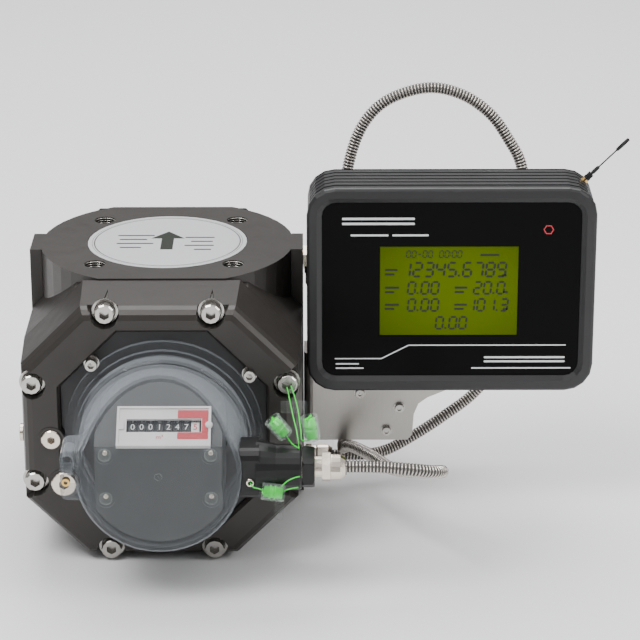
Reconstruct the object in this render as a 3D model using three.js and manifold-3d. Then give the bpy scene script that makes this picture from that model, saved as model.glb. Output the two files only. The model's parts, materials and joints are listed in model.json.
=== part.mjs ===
// Rotary-piston gas meter with a clipped-on volume corrector, millimetres, +Z up.
// Frame: X to the right seen from the index, Y from the index to the back, Z up.
// The origin is the centre of the lower flange face, where the meter stands on its pipe.
import * as THREE from 'three';
import { mergeVertices } from 'three/addons/utils/BufferGeometryUtils.js';
import Module from 'manifold-3d';

const wasm = await Module();
wasm.setup();

// ---------------------------------------------------------------- driving sizes
const FACE_TO_FACE = 171;        // between the two flange faces
const FLANGE_D = 165;            // outer diameter of both flanges
const BOLT_CIRCLE = 125;         // flange stud circle
const PORT_BORE = 50;            // gas port
const LABEL_R = 52, LABEL_T = 0.6; // label over the upper port, in a shallow turned seat
const BODY_DEPTH = 144;          // housing, between the two end covers
const BODY_WIDTH = 176;          // across the flats left to right
const DIAGONAL = 134;            // |x| + |z| limit of the slanted octagon sides
const COVER_DEPTH = 50.1;        // front cover, which holds the index drive
const REAR_DEPTH = 30;           // rear cover, over the timing gears
const ROTOR_CENTRES = 56;        // distance between the rotor shafts
const ROTOR_LENGTH = 99.4;
const INDEX_X = 2.4;             // the index axis sits slightly right of centre
const INDEX_LENGTH = 69.8;       // clear cover, back of its ring to its front face
const INDEX_R = 50.1;            // clear cover, front edge
const SLANT = 37 * Math.PI / 180; // slope of the reading face
const CASE_W = 184;              // corrector, outside
const CASE_H = 137.5;
const CASE_D = 44;
const HOSE_D = 8;                // stainless conduits

// ---------------------------------------------------------------- clearances
const GAP = 0.3;                 // between assembled parts
const RUN = 0.4;                 // between moving and fixed parts
const TIP_RUN = 0.5;             // rotor tips to the measuring bore

// ---------------------------------------------------------------- derived sizes
const FLANGE_R = FLANGE_D / 2;
const Z0 = FACE_TO_FACE / 2;     // height of the shaft plane above the lower face
const HX = BODY_WIDTH / 2;
const HY = BODY_DEPTH / 2;
const STUD = BOLT_CIRCLE / 2 / Math.SQRT2;
const BORE_Y = 50;               // half length of the measuring chamber
const PITCH_R = ROTOR_CENTRES / 2;
const TIP_R = PITCH_R * 1.5;
const BORE_R = TIP_R + TIP_RUN;
const SHAFT_R = 6;
const FRONT = -(HY + GAP + COVER_DEPTH);   // front face of the front cover
const RECESS_FLOOR = FRONT + 8;
const RING_Y = RECESS_FLOOR - GAP - 3 - GAP; // back of the clear cover's ring
const INDEX_Y = RING_Y - INDEX_LENGTH;       // front face of the clear cover
const SENSOR_Y = INDEX_Y + 18;
const SENSOR_Z = Z0 - 1;
const CREASE_Z = Z0 + 0.475 * INDEX_R;       // where the slanted face meets the front
const RIB = 0.6;                             // side ribs stand proud of the housing
const TAP_X = HX + RIB + GAP;                // seat of everything fixed to the right rib
const CASE_X = TAP_X + 2.4 + CASE_W / 2;
const CASE_Z = Z0 + 70;
const CASE_Y1 = -10;                         // back of the case, clear of the rib fittings
const CASE_Y0 = CASE_Y1 - CASE_D;            // front of the bezel
const PLATE_Y = CASE_Y1 + GAP;               // front of the bracket plate
const SEG = 32;

// ---------------------------------------------------------------- colours
const paint = (color, roughness, metalness, extra = {}) =>
  new THREE.MeshStandardMaterial({ color, roughness, metalness, ...extra });
const BRONZE = () => paint(0x4b4642, 0.42, 0.35);
const DARK_PLATE = () => paint(0x2a2a2b, 0.5, 0.2);
const STEEL = () => paint(0xb9b4ac, 0.28, 0.95);
const NICKEL = () => paint(0xd2c4b2, 0.22, 1.0);
const CLEAR = () => paint(0xcfd8de, 0.08, 0.0, { transparent: true, opacity: 0.3 });
const BLACK = () => paint(0x161616, 0.45, 0.0);
const CHARCOAL = () => paint(0x2e2e2f, 0.5, 0.25);
const WHITE = () => paint(0xe8e6e4, 0.5, 0.0);
const SHEET = () => paint(0xa39c94, 0.35, 0.9);
const CAST = () => paint(0x9a9a98, 0.5, 0.8);
const GEAR = () => paint(0x7d7a74, 0.35, 0.95);

// ---------------------------------------------------------------- solids
function solid(geometry) {
  const g = geometry.clone();
  g.deleteAttribute('normal');
  if (g.getAttribute('uv')) g.deleteAttribute('uv');
  const welded = mergeVertices(g, 1e-4);
  const p = welded.getAttribute('position');
  const source = welded.index.array;
  const tris = [];
  let volume = 0;
  const a = new THREE.Vector3(), b = new THREE.Vector3(), c = new THREE.Vector3();
  for (let i = 0; i < source.length; i += 3) {
    const [i0, i1, i2] = [source[i], source[i + 1], source[i + 2]];
    if (i0 === i1 || i1 === i2 || i2 === i0) continue;
    tris.push(i0, i1, i2);
    a.fromBufferAttribute(p, i0); b.fromBufferAttribute(p, i1); c.fromBufferAttribute(p, i2);
    volume += a.dot(b.cross(c));
  }
  if (volume < 0) {
    for (let i = 0; i < tris.length; i += 3) [tris[i], tris[i + 1]] = [tris[i + 1], tris[i]];
  }
  return new wasm.Manifold(new wasm.Mesh({
    numProp: 3, vertProperties: new Float32Array(p.array), triVerts: new Uint32Array(tris) }));
}
const join = (...m) => m.reduce((s, t) => s.add(t));
const cut = (m, ...tools) => tools.reduce((s, t) => s.subtract(t), m);

// Maps the local x, y, z of a shape and its extrusion onto the three world axes.
const AXES = {
  X: new THREE.Matrix4().makeBasis(
    new THREE.Vector3(0, 1, 0), new THREE.Vector3(0, 0, 1), new THREE.Vector3(1, 0, 0)),
  Y: new THREE.Matrix4().makeBasis(
    new THREE.Vector3(1, 0, 0), new THREE.Vector3(0, 0, 1), new THREE.Vector3(0, -1, 0)),
  Z: new THREE.Matrix4(),
};
function shapeOf(points) {
  return new THREE.Shape(points.map(([u, v]) => new THREE.Vector2(u, v)));
}
// Straight prism along an axis: u, v are the two other axes in order, from a to b.
function prism(axis, points, a, b, holes = []) {
  const shape = Array.isArray(points) ? shapeOf(points) : points;
  holes.forEach((h) => shape.holes.push(new THREE.Path(h.map(([u, v]) => new THREE.Vector2(u, v)))));
  const g = new THREE.ExtrudeGeometry(shape, { depth: b - a, bevelEnabled: false, curveSegments: 8 });
  g.translate(0, 0, axis === 'Y' ? -b : a);
  g.applyMatrix4(AXES[axis]);
  return solid(g);
}
// Turned part about an axis through (u, v); the profile lists [radius, place along the axis].
function turned(axis, u, v, profile, segments = SEG, start = 0) {
  const g = new THREE.LatheGeometry(
    profile.map(([r, s]) => new THREE.Vector2(Math.max(r, 0), axis === 'Y' ? -s : s)), segments, start);
  g.rotateX(Math.PI / 2);
  g.applyMatrix4(AXES[axis]);
  const [x, y, z] = { X: [0, u, v], Y: [u, 0, v], Z: [u, v, 0] }[axis];
  g.translate(x, y, z);
  return solid(g);
}
const rod = (axis, u, v, r, a, b, segments = 16, start = 0) =>
  turned(axis, u, v, [[0, a], [r, a], [r, b], [0, b]], segments, start);
const tube = (axis, u, v, r, hole, a, b, segments = 24) =>
  turned(axis, u, v, [[hole, a], [r, a], [r, b], [hole, b], [hole, a]], segments);
// Bore whose flats, not corners, keep the named radius.
const bore = (axis, u, v, r, a, b, segments = 16, start = 0) =>
  rod(axis, u, v, r / Math.cos(Math.PI / segments), a, b, segments, start);
const hex = (axis, u, v, flats, a, b) => rod(axis, u, v, flats / Math.sqrt(3), a, b, 6);
function box(x0, x1, y0, y1, z0, z1) {
  const g = new THREE.BoxGeometry(x1 - x0, y1 - y0, z1 - z0);
  g.translate((x0 + x1) / 2, (y0 + y1) / 2, (z0 + z1) / 2);
  return solid(g);
}
// Octagon in X and Z about the shaft plane, listed counter-clockwise.
function octagon(hx, hz, diagonal, cx = 0) {
  const a = diagonal - hz, b = diagonal - hx;
  return [[hx, -b], [hx, b], [a, hz], [-a, hz], [-hx, b], [-hx, -b], [-a, -hz], [a, -hz]]
    .map(([x, z]) => [x + cx, z + Z0]);
}
function roundedRect(w, h, r, cx, cz, steps = 4) {
  const points = [];
  [[1, 1, 0], [-1, 1, 1], [-1, -1, 2], [1, -1, 3]].forEach(([sx, sz, q]) => {
    for (let i = 0; i <= steps; i++) {
      const t = (q + i / steps) * Math.PI / 2;
      points.push([cx + sx * (w / 2 - r) + r * Math.cos(t), cz + sz * (h / 2 - r) + r * Math.sin(t)]);
    }
  });
  return points;
}
// Skin through outlines of equal count, each at its own Y; closed caps, or a closed ring.
function loft(rings, ring = false) {
  const n = rings[0].points.length, position = [], index = [];
  rings.forEach(({ y, points }) => points.forEach(([x, z]) => position.push(x, y, z)));
  const last = ring ? rings.length : rings.length - 1;
  for (let k = 0; k < last; k++) {
    const k1 = (k + 1) % rings.length;
    for (let i = 0; i < n; i++) {
      const j = (i + 1) % n;
      index.push(k * n + i, k * n + j, k1 * n + j, k * n + i, k1 * n + j, k1 * n + i);
    }
  }
  if (!ring) {
    [0, rings.length - 1].forEach((k) => {
      const outline = rings[k].points.map(([x, z]) => new THREE.Vector2(x, z));
      THREE.ShapeUtils.triangulateShape(outline, []).forEach(([a, b, c]) =>
        index.push(...(k === 0 ? [a, c, b] : [k * n + a, k * n + b, k * n + c])));
    });
  }
  const g = new THREE.BufferGeometry();
  g.setAttribute('position', new THREE.Float32BufferAttribute(position, 3));
  g.setIndex(index);
  return solid(g);
}

const meter = new THREE.Group();
meter.name = 'gas_meter';
function part(name, body, material) {
  const mesh = body.getMesh();
  const g = new THREE.BufferGeometry();
  g.setAttribute('position', new THREE.BufferAttribute(new Float32Array(mesh.vertProperties), 3));
  g.setIndex(new THREE.BufferAttribute(new Uint32Array(mesh.triVerts), 1));
  g.computeVertexNormals();
  const m = new THREE.Mesh(g, material);
  m.name = name;
  meter.add(m);
}

// ---------------------------------------------------------------- measuring housing
const BOLT_A = 32.7, BOLT_B = 79.3;
const COVER_BOLTS = [[BOLT_A, BOLT_B], [BOLT_B, BOLT_A], [BOLT_B, -BOLT_A], [BOLT_A, -BOLT_B],
  [-BOLT_A, -BOLT_B], [-BOLT_B, -BOLT_A], [-BOLT_B, BOLT_A], [-BOLT_A, BOLT_B]];
const REAR_BOLT_X = 72, REAR_BOLT_Z = 66;
const REAR_BOLTS = COVER_BOLTS.map(([x, z]) => (Math.abs(x) > Math.abs(z)
  ? [Math.sign(x) * REAR_BOLT_X, z] : [x, Math.sign(z) * REAR_BOLT_Z]));
const CLAMP = HY - 22;           // how deep the cover bolts reach into the housing
const figureEight = (r, a, b) => join(
  rod('Y', -PITCH_R, Z0, r, a, b, SEG), rod('Y', PITCH_R, Z0, r, a, b, SEG));
const racetrack = (hx, r, a, b, n = 24) => join(
  rod('Y', -hx, Z0, r, a, b, n), rod('Y', hx, Z0, r, a, b, n),
  box(-hx, hx, a, b, Z0 - r, Z0 + r));
const PLATE_HX = PITCH_R, PLATE_R = BORE_R + 6;

let housing = join(
  prism('Y', octagon(HX, Z0 - 1, DIAGONAL), -HY, HY),
  rod('Z', 0, 0, FLANGE_R, 0, FACE_TO_FACE, 48)
    .intersect(box(-HX, HX, -HY, HY, -1, FACE_TO_FACE + 1)),
  box(-HX - RIB, -HX + 7, -16, 16, 0, FACE_TO_FACE),
  box(HX - 7, HX + RIB, -16, 16, 0, FACE_TO_FACE));
// The corners above the octagon are turned away down to the flange circle.
housing = housing.intersect(join(
  rod('Z', 0, 0, FLANGE_R, -1, FACE_TO_FACE + 1, 48),
  box(-HX - 2, HX + 2, -16, 16, -1, FACE_TO_FACE + 1),
  prism('Y', octagon(HX, Z0 - 6, DIAGONAL), -HY, HY)));
housing = cut(housing,
  figureEight(BORE_R, -BORE_Y - GAP - 1, BORE_Y + GAP + 1),
  racetrack(PLATE_HX, PLATE_R, -HY - 1, -BORE_Y - GAP),
  racetrack(PLATE_HX, PLATE_R, BORE_Y + GAP, HY + 1),
  rod('Z', 0, 0, PORT_BORE / 2, -1, FACE_TO_FACE + 1, 24),
  bore('Z', 0, 0, LABEL_R + GAP, FACE_TO_FACE - LABEL_T - GAP - 0.02, FACE_TO_FACE + 1, 40));
for (const sx of [-1, 1]) for (const sy of [-1, 1]) {
  housing = cut(housing,
    rod('Z', sx * STUD, sy * STUD, 7, FACE_TO_FACE - 20, FACE_TO_FACE + 1, 14),
    rod('Z', sx * STUD, sy * STUD, 7, -1, 20, 14));
}
const BOLT_R = 4, BOLT_SEG = 8;  // shank of the cover bolts
for (const [bolts, a, b] of [[COVER_BOLTS, -HY - 1, -CLAMP], [REAR_BOLTS, CLAMP, HY + 1]]) {
  for (const [x, z] of bolts) {
    housing = cut(housing, bore('Y', x, Z0 + z, BOLT_R + GAP, a, b, BOLT_SEG));
  }
}
// Tapped pockets for the pressure and temperature fittings, high and low on the right.
const PRESSURE_Z = Z0 + 74.5, TEMPERATURE_Z = Z0 - 66.5, FITTING_R = 5;
for (const z of [PRESSURE_Z, TEMPERATURE_Z]) {
  housing = cut(housing, bore('X', 0, z, FITTING_R + GAP, HX - 14, HX + 2, 12));
}
part('measuring_housing', housing, BRONZE());

// ---------------------------------------------------------------- headplates and bearings
const HEADPLATE_T = HY - BORE_Y - 2 * GAP;
const BEARING_R = 14, BEARING_W = 8;
function headplate(side) {
  const a = BORE_Y + 2 * GAP, b = HY - GAP;
  const [y0, y1] = side < 0 ? [-b, -a] : [a, b];
  const outer = side < 0 ? y0 : y1;
  let plate = racetrack(PLATE_HX, PLATE_R - GAP, y0, y1);
  for (const x of [-PITCH_R, PITCH_R]) {
    const [p0, p1] = [outer - side * (BEARING_W + GAP), outer + side].sort((p, q) => p - q);
    plate = cut(plate,
      bore('Y', x, Z0, SHAFT_R + RUN + 0.6, y0 - 1, y1 + 1, 16),
      bore('Y', x, Z0, BEARING_R + GAP, p0, p1, 20));
  }
  return plate;
}
part('front_headplate', headplate(-1), CAST());
part('rear_headplate', headplate(1), CAST());
for (const [name, x, side] of [['front_bearing_left', -PITCH_R, -1],
  ['front_bearing_right', PITCH_R, -1], ['rear_bearing_left', -PITCH_R, 1],
  ['rear_bearing_right', PITCH_R, 1]]) {
  const y = side * (HY - GAP - BEARING_W / 2);
  part(name, cut(rod('Y', x, Z0, BEARING_R, y - BEARING_W / 2, y + BEARING_W / 2, 20),
    bore('Y', x, Z0, SHAFT_R + RUN, y - BEARING_W, y + BEARING_W, 16)), STEEL());
}

// ---------------------------------------------------------------- rotors
// Two-lobed cycloidal outline, rolling circle a quarter of the pitch circle.
function rotorOutline(turn) {
  const a = PITCH_R / 4, steps = 10, inset = 0.2, points = [];
  for (let q = 0; q < 4; q++) {
    const lobe = q % 2 === 0;
    for (let i = 0; i < steps; i++) {
      const t = i / steps * Math.PI / 2;
      const s = lobe ? 1 : -1, c = PITCH_R + s * a, k = c / a;
      let x = c * Math.cos(t) - s * a * Math.cos(k * t);
      let z = c * Math.sin(t) - a * Math.sin(k * t);
      const r = Math.hypot(x, z) - inset, w = Math.atan2(z, x) + q * Math.PI / 2 - Math.PI / 4 + turn;
      points.push([r * Math.cos(w), r * Math.sin(w)]);
    }
  }
  return points;
}
const GEAR_Y = HY + 4, GEAR_W = 12;
const MAGNET_Y = -HY - 3, MAGNET_W = 5;
function rotor(x, turn, frontEnd) {
  const outline = rotorOutline(turn).map(([u, v]) => [u + x, v + Z0]);
  return join(prism('Y', outline, -ROTOR_LENGTH / 2, ROTOR_LENGTH / 2),
    rod('Y', x, Z0, SHAFT_R, frontEnd, GEAR_Y + GEAR_W + 3, 16));
}
part('rotor_left', rotor(-PITCH_R, 0, -HY + 3), paint(0xc4c2bd, 0.32, 0.9));
part('rotor_right', rotor(PITCH_R, Math.PI / 2, MAGNET_Y - MAGNET_W - 1),
  paint(0xc4c2bd, 0.32, 0.9));

// Timing gears keep the rotors a quarter turn apart without touching.
function gear(x, turn) {
  const teeth = 20, m = ROTOR_CENTRES / teeth, pressure = 20 * Math.PI / 180;
  const base = PITCH_R * Math.cos(pressure), tip = PITCH_R + 0.85 * m, root = PITCH_R - 1.15 * m;
  const play = 0.22 / PITCH_R;   // thinning of each tooth half
  const involute = (r) => { const t = Math.sqrt(Math.max((r / base) ** 2 - 1, 0)); return t - Math.atan(t); };
  const half = Math.PI / (2 * teeth) - play + involute(PITCH_R);
  const points = [];
  for (let k = 0; k < teeth; k++) {
    const c = turn + k * 2 * Math.PI / teeth;
    const flank = [root, PITCH_R - 0.4 * m, tip].map((r) => [r, half - involute(Math.max(r, base))]);
    flank.forEach(([r, w]) => points.push([r, c - w]));
    flank.reverse().forEach(([r, w]) => points.push([r, c + w]));
  }
  const outline = points.map(([r, w]) => [x + r * Math.cos(w), Z0 + r * Math.sin(w)]);
  return cut(prism('Y', outline, GEAR_Y, GEAR_Y + GEAR_W),
    bore('Y', x, Z0, SHAFT_R + GAP, GEAR_Y - 1, GEAR_Y + GEAR_W + 1, 16));
}
part('timing_gear_left', gear(-PITCH_R, 0), GEAR());
part('timing_gear_right', gear(PITCH_R, Math.PI / 20), GEAR());

// ---------------------------------------------------------------- end covers
const HEAD_R = 6.5, HEAD_H = 8, POCKET_R = 9;
const PLUGS = [[-68, -3, 6.3, 8.3], [-61, -33.2, 8, 10]]; // x, z, plug radius, pad radius
const SEAT = FRONT + 9.5;        // floor of the bolt pockets
function coverBlank(side) {
  const at = (s, hx, hz, d) => ({ y: side * s, points: octagon(hx, hz, d) });
  const s0 = HY + GAP, s1 = HY + GAP + COVER_DEPTH;
  const rings = [at(s0, HX, Z0 - 1, DIAGONAL), at(s1 - 8, HX - 2, Z0 - 2.5, DIAGONAL - 3),
    at(s1 - 4, HX - 3.2, Z0 - 3.7, DIAGONAL - 5), at(s1 - 1.2, HX - 5.6, Z0 - 6.2, DIAGONAL - 8.4),
    at(s1, HX - 9, Z0 - 9.6, DIAGONAL - 13)];
  return loft(side < 0 ? rings.reverse() : rings);
}
function boltHoles(cover, side, depth, bolts) {
  const s1 = HY + GAP + depth;
  for (const [x, z] of bolts) {
    const out = 1.1;
    const [h0, h1] = side < 0 ? [-s1 - 1, -HY + 1] : [HY - 1, s1 + 1];
    const [p0, p1] = side < 0 ? [-s1 - 1, -s1 + 9.5] : [s1 - 9.5, s1 + 1];
    cover = cut(cover, bore('Y', x, Z0 + z, BOLT_R + GAP, h0, h1, BOLT_SEG),
      join(rod('Y', x, Z0 + z, POCKET_R, p0, p1, 16),
        rod('Y', x * out, Z0 + z * out, POCKET_R, p0, p1, 16)));
  }
  return cover;
}
const RECESS = { hx: 64.2, hz: 68, d: 95.8 };
let frontCover = coverBlank(-1);
const pads = PLUGS.map(([x, z, , pad]) => rod('Y', x, Z0 + z, pad, FRONT - 0.6, FRONT + 10, 24));
const recessTool = loft([
  { y: FRONT - 1, points: octagon(RECESS.hx + 2.6, RECESS.hz + 2.6, RECESS.d + 3.6, INDEX_X) },
  { y: FRONT + 1.9, points: octagon(RECESS.hx, RECESS.hz, RECESS.d, INDEX_X) },
  { y: RECESS_FLOOR, points: octagon(RECESS.hx, RECESS.hz, RECESS.d, INDEX_X) }]);
frontCover = join(cut(frontCover, recessTool), ...pads);
frontCover = boltHoles(frontCover, -1, COVER_DEPTH, COVER_BOLTS);
frontCover = cut(frontCover,
  racetrack(PITCH_R, 20, MAGNET_Y - MAGNET_W - 3, -HY + 1, 20),
  ...PLUGS.map(([x, z, r]) => bore('Y', x, Z0 + z, r + GAP, FRONT - 2, FRONT + 3, 20)),
  ...PLUGS.map(([x, z, r]) => bore('Y', x, Z0 + z, r * 0.68 + GAP, FRONT - 2, FRONT + 13, 12)));
// Dry side of the magnetic coupling: a blind well for the driven magnet.
const WELL_R = 16;
frontCover = cut(frontCover, rod('Y', PITCH_R, Z0, WELL_R, RECESS_FLOOR - 1,
  MAGNET_Y - MAGNET_W - 6, 20));
part('front_cover', frontCover, BRONZE());

// The rear cover tapers all round from the housing to its bolted face.
const TAPER = 10;
const rearRing = (s, inset) => ({ y: HY + GAP + s,
  points: octagon(HX - inset, Z0 - 1 - inset, DIAGONAL - inset * 1.4) });
let rearCover = boltHoles(loft([rearRing(0, 0), rearRing(REAR_DEPTH - 4, TAPER + 0.4),
  rearRing(REAR_DEPTH - 1.2, TAPER + 2.4), rearRing(REAR_DEPTH, TAPER + 5)]), 1, REAR_DEPTH, REAR_BOLTS);
rearCover = cut(rearCover, racetrack(PITCH_R, PITCH_R + 6, HY - 1, GEAR_Y + GEAR_W + 8));
part('rear_cover', rearCover, BRONZE());

COVER_BOLTS.forEach(([x, z], i) => {
  const key = 3.4;
  const bolt = cut(
    turned('Y', x, Z0 + z, [[0, SEAT - GAP - HEAD_H], [HEAD_R - 0.8, SEAT - GAP - HEAD_H],
      [HEAD_R, SEAT - GAP - HEAD_H + 0.8], [HEAD_R, SEAT - GAP], [BOLT_R, SEAT - GAP],
      [BOLT_R, -CLAMP - 2], [0, -CLAMP - 2]], 12),
    rod('Y', x, Z0 + z, key, SEAT - GAP - HEAD_H - 1, SEAT - GAP - HEAD_H + 4.4, 6));
  part(`cover_bolt_${i + 1}`, bolt, STEEL());
});
['fill_plug', 'level_plug'].forEach((name, i) => {
  const [x, z, r] = PLUGS[i];
  const face = FRONT - 1.6, seat = FRONT + 3 - GAP, stem = r * 0.68;
  part(name, cut(
    turned('Y', x, Z0 + z, [[0, face], [r - 0.6, face], [r, face + 0.6], [r, seat], [stem, seat],
      [stem, FRONT + 12], [0, FRONT + 12]], 20),
    rod('Y', x, Z0 + z, r * 0.42, face - 1, face + 5, 6)), NICKEL());
});

// ---------------------------------------------------------------- magnetic coupling
part('drive_magnet', cut(rod('Y', PITCH_R, Z0, 14, MAGNET_Y - MAGNET_W, MAGNET_Y, 20),
  bore('Y', PITCH_R, Z0, SHAFT_R + GAP, MAGNET_Y - MAGNET_W - 1, MAGNET_Y + 1, 16)), paint(0x3b3b3d, 0.4, 0.7));
const DRIVEN_Y = MAGNET_Y - MAGNET_W - 6 - RUN;   // back face of the driven magnet
part('driven_magnet', rod('Y', PITCH_R, Z0, 14, DRIVEN_Y - MAGNET_W, DRIVEN_Y, 20),
  paint(0x3b3b3d, 0.4, 0.7));

// ---------------------------------------------------------------- index
const NOTCH = 1.2;
let basePlate = prism('Y', octagon(RECESS.hx - 0.5, RECESS.hz - 0.5, RECESS.d - 0.7, INDEX_X),
  RECESS_FLOOR - GAP - 3, RECESS_FLOOR - GAP);
basePlate = cut(basePlate,
  ...PLUGS.map(([x, z, , pad]) => rod('Y', x, Z0 + z, pad + NOTCH, FRONT - 5, FRONT + 12, 20)),
  rod('Y', PITCH_R, Z0, WELL_R, FRONT - 5, FRONT + 12, 20));
part('index_base_plate', basePlate, DARK_PLATE());

const RING_R = 62, WALL = 2.5;
const slantAt = (offset) => {
  // Half space above the slanted reading face, moved inwards by the offset.
  const g = new THREE.BoxGeometry(200, 200, 100);
  g.translate(0, 0, 50 - offset);
  g.rotateX(SLANT);
  g.translate(INDEX_X, INDEX_Y, CREASE_Z);
  return solid(g);
};
const coverOuter = turned('Y', INDEX_X, Z0, [[0, INDEX_Y], [INDEX_R - 1.6, INDEX_Y],
  [INDEX_R, INDEX_Y + 1.6], [INDEX_R + 2.2, RING_Y - 17], [INDEX_R + 4.4, RING_Y - 15],
  [INDEX_R + 4.6, RING_Y - 9], [INDEX_R + 7, RING_Y - 7.4], [INDEX_R + 7, RING_Y - 4],
  [RING_R, RING_Y - 4], [RING_R, RING_Y], [0, RING_Y]], 40);
const coverInner = turned('Y', INDEX_X, Z0, [[0, INDEX_Y + WALL], [INDEX_R - WALL, INDEX_Y + WALL],
  [INDEX_R - 0.3, RING_Y - 17], [INDEX_R + 2, RING_Y - 14], [INDEX_R + 2, RING_Y + 1],
  [0, RING_Y + 1]], 36);
const LUG_Y0 = SENSOR_Y - 13, LUG_Y1 = SENSOR_Y + 12;
const BOSSES = [[-31.8, 14.6], [31.8, 14.6], [-31.8, -13.8], [31.8, -13.8]];
let indexCover = cut(coverOuter, slantAt(0));
indexCover = join(indexCover,
  prism('Y', roundedRect(22, 32, 4, INDEX_X - 48.5, SENSOR_Z, 2), LUG_Y0, LUG_Y1),
  ...BOSSES.map(([x, z]) => rod('Y', INDEX_X + x, Z0 + z, 5.8, INDEX_Y - 0.8, INDEX_Y + 2, 16)));
indexCover = cut(indexCover, cut(coverInner, slantAt(WALL)),
  ...BOSSES.map(([x, z]) => rod('Y', INDEX_X + x, Z0 + z, 4.2, INDEX_Y - 2, INDEX_Y + 0.4, 14)),
  prism('Y', roundedRect(6.5, 13, 2, INDEX_X - 55.2, SENSOR_Z + 6, 2), LUG_Y0 - 1, LUG_Y1 - 3),
  ...PLUGS.map(([x, z, , pad]) => rod('Y', x, Z0 + z, pad + 0.8, RING_Y - 6, RING_Y + 1, 20)));
part('index_cover', indexCover, CLEAR());

// Inner module: a cup with the same slanted face, carrying the counter.
const CUP_R = 45, CUP_Y = INDEX_Y + 6, CUP_OFF = 8.6, CUP_W = 1.6, CUP_HX = 38.5;
const cup = (grow, back) => cut(
  rod('Y', INDEX_X, Z0, CUP_R - grow, CUP_Y + grow, back, 40)
    .intersect(box(INDEX_X - CUP_HX + grow, INDEX_X + CUP_HX - grow, -300, 0, -10, 200)),
  slantAt(CUP_OFF + grow));
const COUNTER_X = 5.6;
// Counter coordinates: x along the wheels, v up the slope from the crease, n out of the face.
function onSlope(body) {
  const m = new THREE.Matrix4().makeRotationX(SLANT);
  m.setPosition(COUNTER_X, INDEX_Y, CREASE_Z);
  return body.transform(m.elements);
}
const slopeBox = (x0, x1, v0, v1, n0, n1) => onSlope(box(x0, x1, v0, v1, n0, n1));
const AXLE_V = 14.4, AXLE_N = -17.4;
const FRAME = { hx: 28.4, v0: -0.4, v1: 27.4, n0: -CUP_OFF + GAP, n1: -5.4 };
let dial = cut(cup(0, RING_Y - 3), cup(CUP_W, RING_Y));
dial = cut(dial, slopeBox(-26, 26, 2.4, 25.4, -14, 0));
part('dial_housing', dial, paint(0x636565, 0.55, 0.0));

let frame = slopeBox(-FRAME.hx, FRAME.hx, FRAME.v0, FRAME.v1, FRAME.n0, FRAME.n1);
frame = cut(frame, slopeBox(-22.6, 22.6, AXLE_V - 4.5, AXLE_V + 4.5, -20, 0),
  slopeBox(-FRAME.hx + 1.4, FRAME.hx - 1.4, FRAME.v0 + 1.4, FRAME.v1 - 1.4, FRAME.n1 - 0.9, 0));
frame = join(frame,
  slopeBox(-25.4, -22.6, AXLE_V - 5, AXLE_V + 5, AXLE_N - 4, FRAME.n0 + 1),
  slopeBox(22.6, 25.4, AXLE_V - 5, AXLE_V + 5, AXLE_N - 4, FRAME.n0 + 1));
const alongX = (r, a, b, segments) => onSlope(rod('X', AXLE_V, AXLE_N, r, a, b, segments));
const AXLE_R = 2;
frame = cut(frame, alongX((AXLE_R + GAP) / Math.cos(Math.PI / 12), -30, 30, 12));
part('counter_frame', frame, WHITE());
part('counter_axle', alongX(AXLE_R, -26.4, 26.4, 12), STEEL());
const WHEEL_PITCH = 5.4, WHEEL_R = 9;
for (let i = 0; i < 8; i++) {
  const x = (3.5 - i) * WHEEL_PITCH;
  const [a, b] = [x - WHEEL_PITCH / 2 + 0.25, x + WHEEL_PITCH / 2 - 0.25];
  const wheel = cut(alongX(WHEEL_R, a, b, 20),
    alongX((AXLE_R + RUN) / Math.cos(Math.PI / 12), a - 1, b + 1, 12));
  part(`number_wheel_${i + 1}`, wheel, i === 0 ? WHITE() : BLACK());
}

// ---------------------------------------------------------------- pulse sensor
const SENSOR_X = 63, STEM_R = 6.8;
let sensor = join(
  prism('X', roundedRect(28, 32, 6, SENSOR_Y, SENSOR_Z, 3), 42, SENSOR_X),
  turned('X', SENSOR_Y, SENSOR_Z, [[0, SENSOR_X - 2], [16.6, SENSOR_X - 2], [15.4, SENSOR_X + 5],
    [14.2, SENSOR_X + 10], [14, SENSOR_X + 24.6], [13.2, SENSOR_X + 25.6], [0, SENSOR_X + 25.6]], 24));
sensor = cut(sensor,
  turned('Y', INDEX_X, Z0, [[0, INDEX_Y - 1], [INDEX_R + 0.5, INDEX_Y - 1], [INDEX_R + 0.5, INDEX_Y + 1],
    [INDEX_R + 2.9, RING_Y - 10], [0, RING_Y - 10]], 40),
  bore('X', SENSOR_Y, SENSOR_Z, STEM_R + GAP, SENSOR_X + 14, SENSOR_X + 27, 16));
part('sensor_housing', sensor, BLACK());
const NUT_X = SENSOR_X + 25.6 + GAP;
part('sensor_nut', cut(
  turned('X', SENSOR_Y, SENSOR_Z, [[0, NUT_X], [13.6, NUT_X], [13.6, NUT_X + 7.6], [0, NUT_X + 7.6]], 6)
    .intersect(turned('X', SENSOR_Y, SENSOR_Z, [[0, NUT_X], [12.6, NUT_X], [13.6, NUT_X + 1.2],
      [13.6, NUT_X + 6.4], [12.4, NUT_X + 7.6], [0, NUT_X + 7.6]], 20)),
  bore('X', SENSOR_Y, SENSOR_Z, STEM_R + GAP, NUT_X - 1, NUT_X + 9, 16)), BLACK());

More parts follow.
